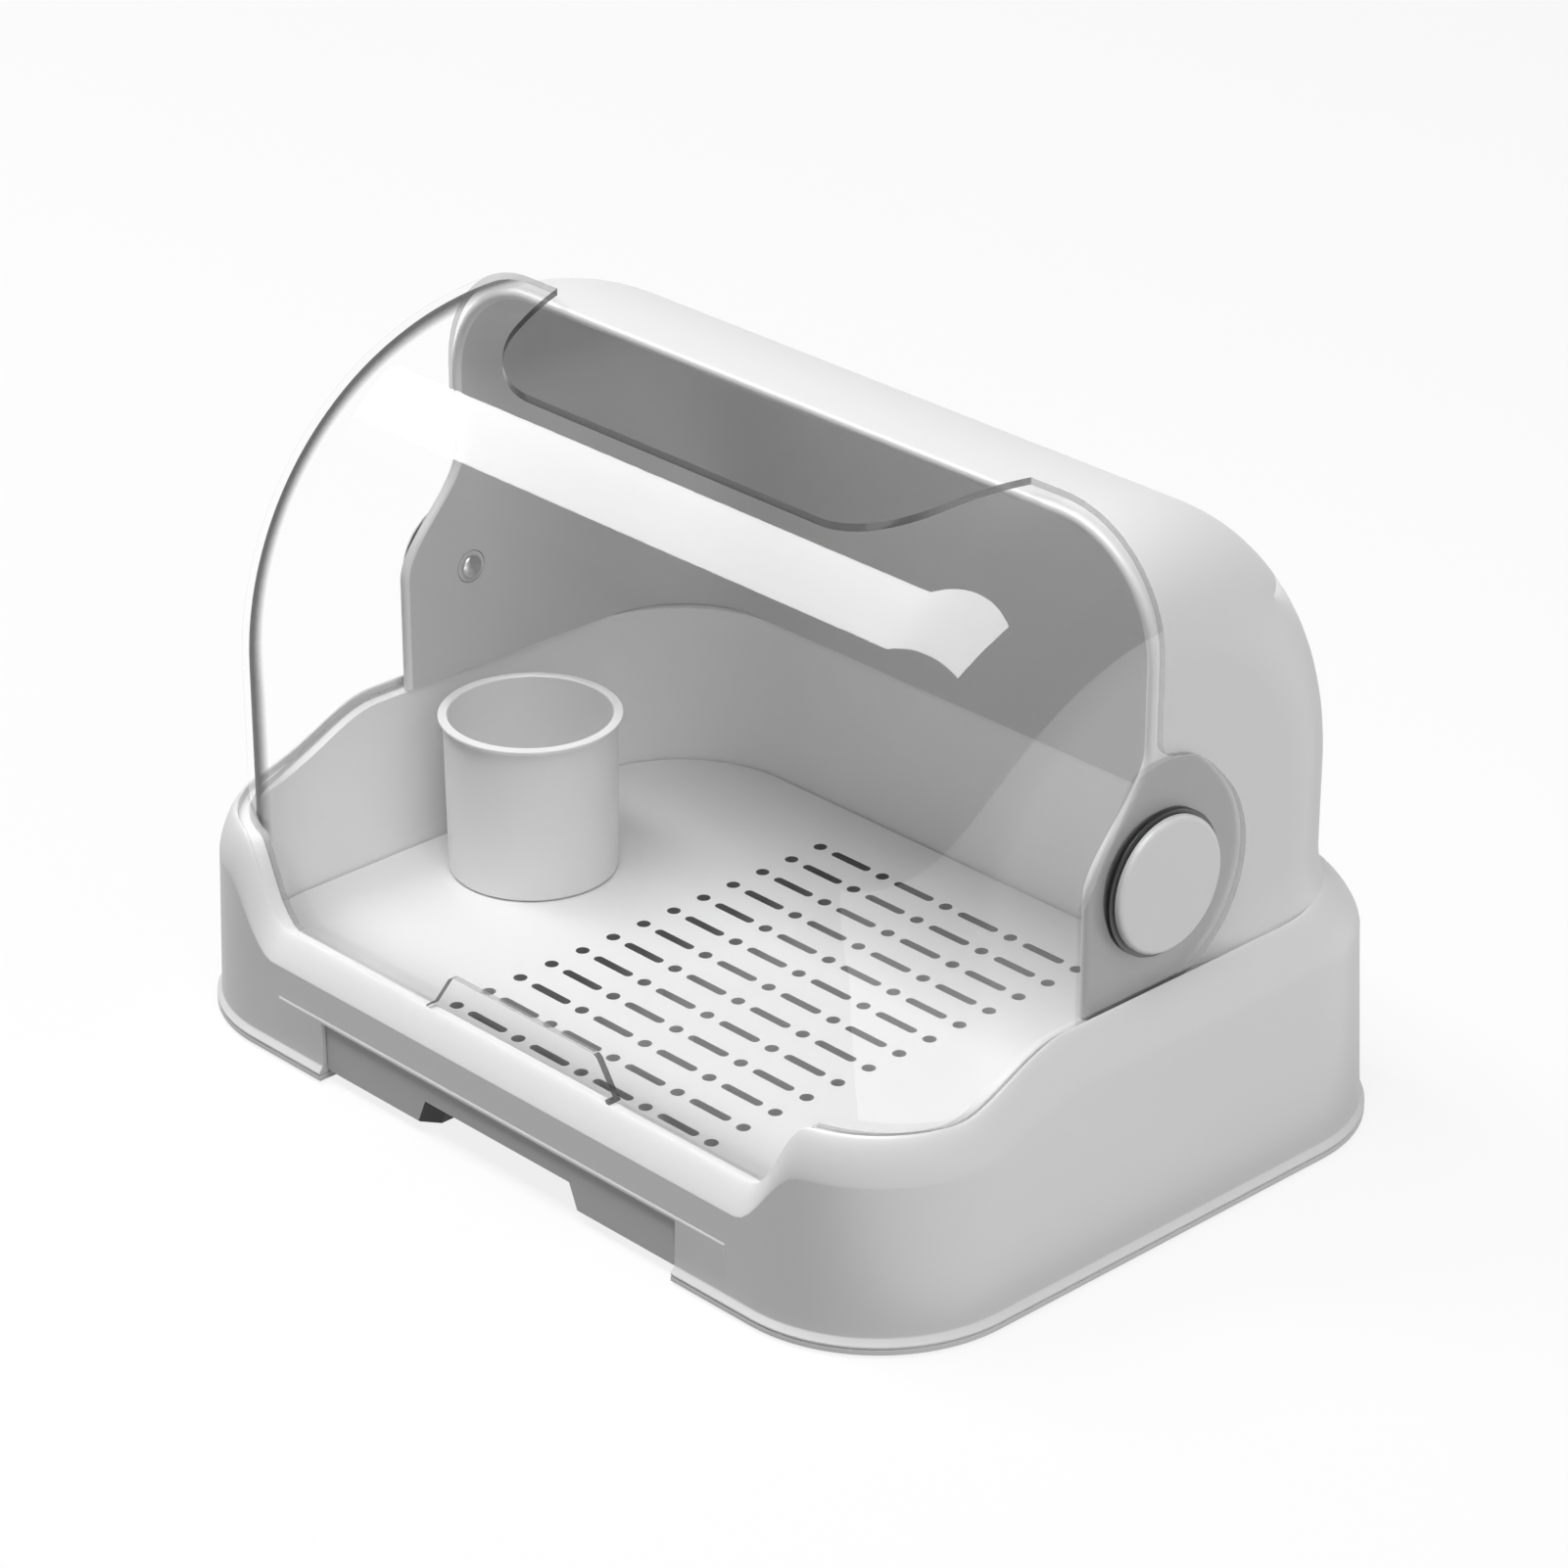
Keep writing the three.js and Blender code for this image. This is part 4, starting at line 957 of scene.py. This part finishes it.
class RoundedBody:
    """A roof about a line along X, with rounded sides. Facing is 1 for a back, -1 for a front."""

    def __init__(self, half, corner, radius, centre, facing, far, taper=0, taper_depth=1, flare=0):
        self.half, self.corner, self.radius, self.centre = half, corner, radius, centre
        self.facing, self.far, self.taper, self.taper_depth = facing, far, taper, taper_depth
        self.flare = flare

    def inner(self, wall):
        return RoundedBody(self.half - wall, self.corner - wall, self.radius - wall, self.centre,
                           self.facing, self.far, self.taper, self.taper_depth)

    def chain(self, inset, steps=56):
        radius = self.radius - inset
        cy, cz = self.centre
        points = [(-self.facing * self.far, cz + radius)]
        if self.facing > 0:
            points.append((0, cz + radius))
        for i in range(steps + 1):
            angle = (1 - i / steps) * math.pi / 2
            points.append((cy + self.facing * radius * math.cos(angle), cz + radius * math.sin(angle)))
        return points

    def piece(self, name, bottom, *materials, steps=18):
        slices = []
        for side in (1, -1):
            for i in range(steps + 1):
                step = steps - i if side > 0 else i
                angle = step / steps * math.pi / 2
                x = side * (self.half - self.corner * (1 - math.sin(angle)))
                top = self.chain(self.corner * (1 - math.cos(angle)))
                slices.append([(x, y, z) for y, z in top] + [(x, y, bottom) for y, z in reversed(top)])
        if self.taper:
            slices = [[(x * (1 - self.taper * max(0, y) / self.taper_depth), y, z) for x, y, z in ring]
                      for ring in slices]
        points, faces = loft(slices)
        count = len(slices[0])
        last = (len(slices) - 1) * count
        for i in range(count // 2 - 1):
            faces.append((i, count - 1 - i, count - 2 - i, i + 1))
            faces.append((last + i + 1, last + count - 2 - i, last + count - 1 - i, last + i))
        return mend_normals(new_piece(name, points, faces, *materials))

    def flared(self, y, z):
        """How far the foot stands out at a height, and how fast that fades with height."""
        share = 1 - (z - FLARE_FOOT) / FLARE_RISE
        if not self.flare or share <= 0:
            return 0, 0
        reach = self.flare * climb(y, FLARE_START, FLARE_FADE)
        return reach * share ** 2.4, reach * 2.4 * share ** 1.4 / FLARE_RISE

    def flare_out(self, piece):
        """Splits the foot into rows and moves its outer wall out."""
        net = bmesh.new()
        net.from_mesh(piece.data)
        for i in range(FLARE_ROWS):
            row = (FLARE_FOOT + FLARE_RISE * (i + 0.5) / FLARE_ROWS + FEET_PROUD) * MILLIMETRE
            everything = list(net.verts) + list(net.edges) + list(net.faces)
            bmesh.ops.bisect_plane(net, geom=everything, dist=1e-7, plane_co=(0, 0, row), plane_no=(0, 0, 1))
        for vertex in net.verts:
            x, y, z = vertex.co / MILLIMETRE
            z -= FEET_PROUD
            reach, _ = self.flared(y, z)
            known, away = self.normal(x, y, z)
            if reach and abs(away + reach) < 0.05:
                out = Vector((known.x, known.y, 0)).normalized()
                vertex.co += out * reach * MILLIMETRE
        net.to_mesh(piece.data)
        net.free()
        return piece

    def normal(self, x, y, z):
        """The outward normal of the body's surface nearest to a point, and the distance to it."""
        cy, cz = self.centre
        narrowing = 1 - self.taper * max(0, y) / self.taper_depth
        a = abs(x) / narrowing - (self.half - self.corner)
        back, up = (y - cy) * self.facing, z - cz
        if back <= 0:
            rho, across, rise = up, 0, 1
        elif up <= 0:
            rho, across, rise = back, self.facing, 0
        else:
            rho = math.hypot(back, up)
            across, rise = self.facing * back / rho, up / rho
        b = rho - (self.radius - self.corner)
        if a > 0 and b > 0:
            size = math.hypot(a, b)
            side, roof, away = a / size, b / size, size - self.corner
        elif a > b:
            side, roof, away = 1, 0, a - self.corner
        else:
            side, roof, away = 0, 1, b - self.corner
        sign = 1 if x > 0 else -1
        reach, fading = self.flared(y, z)
        lean = 0
        if self.taper and y > 0:
            lean = side * abs(x) * self.taper / self.taper_depth / narrowing ** 2
            side /= narrowing
        found = Vector((sign * side, roof * across + lean, roof * rise + fading))
        return found.normalized(), away - reach


def true_normals(piece, outer, inner, inner_slot=0, slot_of_cut=lambda middle, normal: 0):
    """Writes the known normals of both walls into the mesh. Cut faces keep their own normal, and a rule
    chooses their material from their middle and their normal."""
    mesh = piece.data
    mesh.polygons.foreach_set("use_smooth", [True] * len(mesh.polygons))
    custom = [None] * len(mesh.loops)
    cut_faces = 0
    for face in mesh.polygons:
        own = face.normal.copy()
        middle = face.center / MILLIMETRE
        middle.z -= FEET_PROUD
        walls = []
        for wall, sign in ((outer, 1), (inner, -1)):
            known, away = wall.normal(*middle)
            walls.append((abs(away), known.dot(own) * sign, wall, sign))
        away, match, wall, sign = min(walls, key=lambda found: found[0])
        on_wall = away < 0.35 and match > 0.93
        wall_slot = 0 if sign > 0 else inner_slot
        face.material_index = wall_slot if on_wall else slot_of_cut(middle, own)
        cut_faces += not on_wall
        for loop in face.loop_indices:
            if on_wall:
                place = mesh.vertices[mesh.loops[loop].vertex_index].co / MILLIMETRE
                known, _ = wall.normal(place.x, place.y, place.z - FEET_PROUD)
                custom[loop] = known * sign
            else:
                custom[loop] = own
    mesh.normals_split_custom_set(custom)
    print(piece.name + ":", cut_faces, "cut faces of", len(mesh.polygons))
    return piece


def ledge_tool(gap):
    """Everything up to the ledge of the base and a gap above it."""
    outside, inside = inset_loop(-6, -6), inner_loop(-14)
    loops = [outside, inset_loop(RIM_INSET, RIM_INSET_BACK), inner_loop(0), inside]
    rings = [base_ring(loop, lambda top: top - LEDGE_DROP + gap) for loop in loops]
    rings = [base_ring(outside, lambda top: 0)] + rings + [base_ring(inside, lambda top: 0)]
    return mend_normals(new_piece("ledge", *loft(rings, closed=True)))


def prism_along_x(name, outline, half=366):
    rings = [[(-half, y, z) for y, z in outline], [(half, y, z) for y, z in outline]]
    return mend_normals(new_piece(name, *loft(rings, caps=True)))


def arc_points(cy, cz, radius, start, end, steps):
    points = []
    for i in range(steps + 1):
        angle = start + (end - start) * i / steps
        points.append((cy + radius * math.cos(angle), cz + radius * math.sin(angle)))
    return points


print("rounded bodies: ready")

# %% [markdown]
# ## Hood
#
# The hood stands on the ledge at the back, with its open side to the front. Its front edge is upright above
# and swings forward in an S curve into two ears, which carry the hinges. Behind, its foot flares out softly
# to the crest of the base. The front edge is fully rounded, a half circle as wide as the wall, and is made as
# a strip along the outline. The inside has a more matt finish than the polished outside, and a darker grey,
# which is painted shade for the dim inside of the hood.

# %% Hood
HOOD_WALL = 4
hood_outer = RoundedBody(
    half=171, corner=43, radius=110.5, centre=(2.5, 135.5), facing=1, far=133,
    taper=0.01, taper_depth=113, flare=3.3,
)
hood_inner = hood_outer.inner(HOOD_WALL)
hood = hood_outer.piece("hood", 45, white_hood, hood_inside_painted_shade)
cut(hood, hood_inner.piece("hood hollow", 0, steps=16))
EAR_REACH, EAR_HEIGHT, FRONT_HEIGHT = 27, 131, 175
EDGE_RADIUS = HOOD_WALL / 2
BORE_RADIUS = 6.3


def hood_front(z):
    """How far back the hood's front edge lies at a height."""
    return -EAR_REACH * (1 - climb(z, EAR_HEIGHT, FRONT_HEIGHT - EAR_HEIGHT))


heights = [0] + [EAR_HEIGHT + (FRONT_HEIGHT - EAR_HEIGHT) * i / 40 for i in range(41)] + [252]
front = [(-266, 0)] + [(hood_front(z) + EDGE_RADIUS, z) for z in heights] + [(-266, 252)]
cut(hood, prism_along_x("in front of the hood", front))
cut(hood, ledge_tool(0.3))
bore = [(0, -183), (BORE_RADIUS, -183), (BORE_RADIUS, 183), (0, 183)]
cut(hood, turned("hinge bore", bore, 48, (0, PIVOT_Y, PIVOT_HEIGHT), "X"))
hood_outer.flare_out(hood)
true_normals(hood, hood_outer, hood_inner, inner_slot=1)
finish_piece(hood, "base", "white_hood", "hood_shell")


def edge_stations():
    """The hood's outline seen from the front, with its outward direction, from the left foot to the right."""
    half, corner = hood_outer.half, hood_outer.corner
    shoulder = hood_outer.centre[1] + hood_outer.radius - corner
    right = [(half, FLARE_FOOT + (EAR_HEIGHT - FLARE_FOOT) * i / 4, 1, 0) for i in range(4)]
    right += [(half, EAR_HEIGHT + (FRONT_HEIGHT - EAR_HEIGHT) * i / 40, 1, 0) for i in range(41)]
    for i in range(25):
        angle = i / 24 * math.pi / 2
        c, s = math.cos(angle), math.sin(angle)
        right.append((half - corner + corner * c, shoulder + corner * s, c, s))
    left = [(-x, z, -nx, nz) for x, z, nx, nz in right]
    return left + right[::-1]


def edge_ring(x, z, nx, nz):
    """A half circle in front and a narrow tongue behind, which sits inside the hood's wall."""
    section = []
    for k in range(13):
        angle = math.pi * k / 12
        section.append((EDGE_RADIUS * (1 - math.cos(angle)), EDGE_RADIUS * (1 - math.sin(angle))))
    section += [(EDGE_RADIUS + 0.8, EDGE_RADIUS + 0.8), (EDGE_RADIUS - 0.8, EDGE_RADIUS + 0.8)]
    return [(x - nx * inward, hood_front(z) + back, z - nz * inward) for inward, back in section]


edge_rings = [edge_ring(*station) for station in edge_stations()]
hood_edge = mend_normals(new_piece("hood_front_edge", *loft(edge_rings, caps=True), white_hood))
smooth(hood_edge, 40)
finish_piece(hood_edge, "base", "white_hood")

# %% [markdown]
# ## Clear lid
#
# The lid is round about the hinge line, so it can swing over the hood with an even gap. Behind, it narrows to
# two hubs round the hinge caps. A wide notch in its top leaves a vent in front of the hood, a small one in
# its front edge is the grip, and a narrow flange stiffens that edge.

# %% Clear lid
LID_WALL, LID_BOTTOM = 2.5, 42.4
HUB_RADIUS, HUB_RISE, HUB_START, HUB_END, HUB_STEPS = 40, 3.5, 80, -90, 72
NECK_Y, NECK_HEIGHT, NECK_RADIUS = 9, PIVOT_HEIGHT + 50.5, 7
FLANGE_HALF, FLANGE_FRONT, FLANGE_BACK, FLANGE_HEIGHT = 116, -122.5, -117.75, 1.8
VENT_FRONT, VENT_BACK, VENT_HALF, VENT_HALF_BACK, VENT_CORNER = -49.5, 8, 95.6, 116.1, 36
GRIP_HALF, GRIP_HALF_TOP, GRIP_TOP, GRIP_CORNER = 46.5, 37, 56.5, 4
lid_outer = RoundedBody(half=174, corner=45, radius=123, centre=(PIVOT_Y, PIVOT_HEIGHT), facing=-1, far=133)
lid_inner = lid_outer.inner(LID_WALL)
lid = lid_outer.piece("lid", LID_BOTTOM, lid_faces, lid_edges_painted_shade, lid_cuts_painted_shade, lid_inside)
cut(lid, lid_inner.piece("lid hollow", 0, steps=18))
flange_top = LID_BOTTOM + FLANGE_HEIGHT
join(lid, block(
    "flange", (-FLANGE_HALF, FLANGE_FRONT, LID_BOTTOM), (FLANGE_HALF, FLANGE_BACK, flange_top), lid_faces
))
behind = [(266, 0), (266, 258), (2, 258)]
behind += arc_points(NECK_Y, NECK_HEIGHT, NECK_RADIUS, math.pi, 1.5 * math.pi, 16)
for i in range(HUB_STEPS + 1):
    angle = math.radians(HUB_START + (HUB_END - HUB_START) * i / HUB_STEPS)
    radius = HUB_RADIUS + HUB_RISE * climb(math.degrees(angle), 40, 40)
    behind.append((PIVOT_Y + radius * math.cos(angle), PIVOT_HEIGHT + radius * math.sin(angle)))
behind += [(PIVOT_Y, 0)]
cut(lid, prism_along_x("behind the lid", behind))
cut(lid, ledge_tool(0.4))
cut(lid, turned("pin bore", bore, 48, (0, PIVOT_Y, PIVOT_HEIGHT), "X"))


def rounded_outline(corners, steps=20):
    """An outline with chosen corners rounded, each corner given as x, y and radius."""
    points = []
    for i, (x, y, radius) in enumerate(corners):
        corner = Vector((x, y))
        before = (Vector(corners[i - 1][:2]) - corner).normalized()
        after = (Vector(corners[(i + 1) % len(corners)][:2]) - corner).normalized()
        if not radius:
            points.append(tuple(corner))
            continue
        half_angle = before.angle(after) / 2
        middle = corner + (before + after).normalized() * (radius / math.sin(half_angle))
        start = corner + before * (radius / math.tan(half_angle)) - middle
        end = corner + after * (radius / math.tan(half_angle)) - middle
        for k in range(steps + 1):
            points.append(tuple(middle + radius * start.slerp(end, k / steps)))
    return points


vent_outline = rounded_outline([
    (-VENT_HALF, VENT_FRONT, VENT_CORNER), (VENT_HALF, VENT_FRONT, VENT_CORNER),
    (VENT_HALF_BACK, VENT_BACK, 0), (-VENT_HALF_BACK, VENT_BACK, 0),
])
cut(lid, mend_normals(new_piece("vent", *loft([
    [(x, y, PIVOT_HEIGHT) for x, y in vent_outline], [(x, y, 260) for x, y in vent_outline],
], caps=True))))
grip_outline = rounded_outline([
    (-GRIP_HALF, LID_BOTTOM, 0), (GRIP_HALF, LID_BOTTOM, 0),
    (GRIP_HALF_TOP, GRIP_TOP, GRIP_CORNER), (-GRIP_HALF_TOP, GRIP_TOP, GRIP_CORNER),
])
below = [(-GRIP_HALF, LID_BOTTOM - 6), (GRIP_HALF, LID_BOTTOM - 6)]
grip_outline = below + grip_outline[1:] + grip_outline[:1]
cut(lid, mend_normals(new_piece("grip", *loft([
    [(x, -266, z) for x, z in grip_outline], [(x, 0, z) for x, z in grip_outline],
], caps=True))))


def lid_cut_slot(middle, normal):
    """Faces of the flange are clear; the vent and the slanted ends of the grip get the near-black painted
    shade, other edges the grey painted shade.
    """
    in_vent = middle.z > 200 and middle.y < 1
    in_grip = middle.y < -100 and middle.z < GRIP_TOP + 1.5 and abs(middle.x) < FLANGE_HALF + 1
    if in_vent or (in_grip and abs(middle.x) < GRIP_HALF + 3.5 and abs(normal.x) > 0.3):
        return 2
    return 0 if in_grip and middle.z < LID_BOTTOM + 2 else 1


true_normals(lid, lid_outer, lid_inner, 3, lid_cut_slot)
finish_piece(lid, "lid", "clear_lid", "clear_lid")

# %% [markdown]
# ## Hinges
#
# On each side a steel pin turns in a bush that sits in the hood's ear; its domed head shows inside the box.
# Outside the lid lies a black washer, and over it a white cap with a bright bevel. The dark crescent beside
# the cap is the washer: its near black is partly its own colour and partly painted shade for the gap under
# the cap.

# %% Hinges
HINGE_PLACE = (0, PIVOT_Y, PIVOT_HEIGHT)
CAP_RADIUS, CAP_BEVEL, CAP_BACK, CAP_FACE = 23.8, 1.8, 175.6, 178.5
WASHER_RADIUS, WASHER_BREAK, WASHER_BACK, WASHER_FACE = 25.5, 0.2, 174.3, 175.3
PIN_RADIUS, PIN_END = 3, 176.8
PIN_HEAD_RADIUS, PIN_HEAD_TIP, PIN_HEAD_DOME, PIN_HEAD_BACK = 4.3, 164.9, 1.5, 166.5
PIN_CLEARANCE = 0.3


def hinge_piece(name, side, profile, sides, material, degrees):
    """A turned piece on the hinge line; side is 1 at the right and -1 at the left."""
    profile = [(radius, side * along) for radius, along in profile]
    return smooth(turned(name, profile, sides, HINGE_PLACE, "X", material), degrees)


def quarter(steps):
    return [i / steps * math.pi / 2 for i in range(steps + 1)]


cap_bore = PIN_RADIUS + PIN_CLEARANCE
cap_profile = [(0, PIN_END + PIN_CLEARANCE), (cap_bore, PIN_END + PIN_CLEARANCE), (cap_bore, CAP_BACK)]
cap_profile += [(CAP_RADIUS, CAP_BACK)]
cap_profile += [
    (CAP_RADIUS - CAP_BEVEL * (1 - math.cos(a)), CAP_FACE - CAP_BEVEL * (1 - math.sin(a))) for a in quarter(6)
]
cap_profile += [(0, CAP_FACE)]
washer_profile = [
    (cap_bore, WASHER_BACK), (25.2, WASHER_BACK), (WASHER_RADIUS, WASHER_BACK + WASHER_BREAK),
    (WASHER_RADIUS, WASHER_FACE - WASHER_BREAK), (25.2, WASHER_FACE), (cap_bore, WASHER_FACE),
]
for side, name in ((1, "right"), (-1, "left")):
    cap = hinge_piece("hinge_cover_" + name, side, cap_profile, 128, white_hood, 20)
    finish_piece(cap, "lid", "white_hood", "hinge_cap_" + name)
    washer = hinge_piece("hinge_ring_" + name, side, washer_profile, 128, black_washer, 30)
    finish_piece(washer, "lid", "black_washer", "hinge_washer_" + name)

# %% Hinge pins
pin_profile = [
    (PIN_HEAD_RADIUS * math.sin(a), PIN_HEAD_TIP + PIN_HEAD_DOME * (1 - math.cos(a))) for a in quarter(9)
]
pin_profile += [
    (PIN_HEAD_RADIUS, PIN_HEAD_BACK), (PIN_RADIUS, PIN_HEAD_BACK), (PIN_RADIUS, PIN_END), (0, PIN_END),
]
for side, name in ((1, "right"), (-1, "left")):
    pin = hinge_piece("hinge_steel_pin_" + name, side, pin_profile, 48, steel, 40)
    finish_piece(pin, "lid", "steel", "hinge_pin_" + name)

# %% [markdown]
# ## Pieces that stay as they are
#
# The bushes of the pins and the two rails of the drawer already have their right shape. They keep it and
# only get a finish.

# %% Pieces that stay
for name, material in (
    ("hinge_bush_left", hood_inside_painted_shade), ("hinge_bush_right", hood_inside_painted_shade),
    ("drawer_rail_left", pale_inner), ("drawer_rail_right", pale_inner),
):
    mesh = nodes[name].data
    mesh.materials.clear()
    mesh.materials.append(material)
print("kept pieces: 4")

# %% [markdown]
# ## Floor and background
#
# The box stands on a plain pale floor without an edge. The camera, mirrors and glass see it almost white,
# with a faint shadow under the box. Light that bounces from it onto the walls sees a dark grey, because the
# lower walls of the real box are darker than a white table would make them.


# %% Floor and background
def seen_directly(finish):
    path = {name: finish.node("LightPath", output=name)
            for name in ("Is Camera Ray", "Is Glossy Ray", "Is Transmission Ray")}
    return (path["Is Camera Ray"] + path["Is Glossy Ray"] + path["Is Transmission Ray"]).at_most(1.0)


ground_finish = Finish("pale_floor")
bright = ground_finish.node("Emission", values={"Color": (1, 1, 1, 1), "Strength": 0.99})
shadowed = ground_finish.node("BsdfDiffuse", values={"Color": (0.95, 0.95, 0.95, 1)})
seen = ground_finish.node("MixShader", values={0: 0.15, 1: bright, 2: shadowed})
bounced = ground_finish.node("BsdfDiffuse", values={"Color": (0.17, 0.17, 0.17, 1)})
ground_material = ground_finish.show(ground_finish.node("MixShader", values={
    0: seen_directly(ground_finish), 1: bounced, 2: seen,
}))
ground_rings = []
for radius, height in ((0, 0), (2.5, 0), (4.0, 0.05), (5.0, 0.5), (5.4, 1.4), (5.5, 4.0)):
    ground_rings.append([
        (METRE * radius * math.cos(a * math.pi / 48), METRE * radius * math.sin(a * math.pi / 48),
         METRE * height - FEET_PROUD) for a in range(96)
    ])
ground = mend_normals(new_piece("ground", *loft(ground_rings), ground_material))
ground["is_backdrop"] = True

world = bpy.data.worlds.new("studio")
scene.world = world
world.use_nodes = True
world.node_tree.nodes.clear()


class Sky(Finish):
    """The net of the world."""

    def __init__(self, world):
        self.tree = world.node_tree


sky = Sky(world)
plain = sky.node("Background", values={"Color": (1, 1, 1, 1), "Strength": 1.0})
fill = sky.node("Background", values={"Color": (1, 1, 1, 1), "Strength": 0.2})
mixed = sky.node("MixShader", values={0: seen_directly(sky), 1: fill, 2: plain})
world_out = world.node_tree.nodes.new("ShaderNodeOutputWorld")
world.node_tree.links.new(mixed.socket, world_out.inputs["Surface"])
print("background: ready")

# %% [markdown]
# ## Lamps
#
# A long soft box hangs over the front of the box and gives the top faces their light. A copy of it that only
# mirrors see, brighter and a little lower, makes the broad white band in the lid. A tall panel stands to the
# right and lifts the right side above the front. A flat sheet beside the box, again seen by mirrors alone,
# draws the fine arc in the lid's right corner. Thin white plastic lets some light through: a faint lamp
# under the roof of the hood stands for that.


# %% Lamps
def soft_box(name, place, turn, size_x, size_y, radiance):
    light = bpy.data.lights.new(name, "AREA")
    light.shape = "RECTANGLE"
    light.size, light.size_y = size_x, size_y
    light.energy = radiance * math.pi * size_x * size_y
    lamp = bpy.data.objects.new(name, light)
    lamp.location = place
    lamp.rotation_euler = [math.radians(a) for a in turn]
    lamp.visible_camera = False
    scene.collection.objects.link(lamp)
    print(name + ": radiance", radiance)
    return lamp


key = soft_box("long soft box", (-0.9, -0.65, 2.5), (0, 0, 0), 4.4, 0.98, 6.05)
key.visible_glossy = False
mirrored = soft_box("long soft box in mirrors", (-0.9, -0.65, 2.45), (0, 0, 0), 4.32, 0.96, 13.0)
mirrored.visible_diffuse = False
panel = soft_box("right panel", (2.5, 0.2, 1.5), (0, 90, 0), 3.0, 5.1, 0.88)
panel.visible_glossy = False
sheet = soft_box("right sheet in mirrors", (1.35, 0.2, 0.003), (180, 0, 0), 2.3, 5.1, 1.7)
sheet.visible_diffuse = False
through_hood = soft_box("light through the hood", (0.01, 0.055, 0.205), (0, 0, 0), 0.3, 0.09, 0.5)
through_hood.visible_glossy = False

# %% [markdown]
# ## Picture and measures
#
# The colours are shown plainly, as they are written. The box of the dressed model is kept beside the box of
# the CAD model, to compare the two.

# %% Picture and measures
scene.view_settings.view_transform = "Standard"
boxes = {
    "cad": [list(corner) for corner in cad_box],
    "visual": [list(corner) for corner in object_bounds()],
}
for name, corners in boxes.items():
    print(name, [round(high - low, 4) for low, high in zip(*corners)])
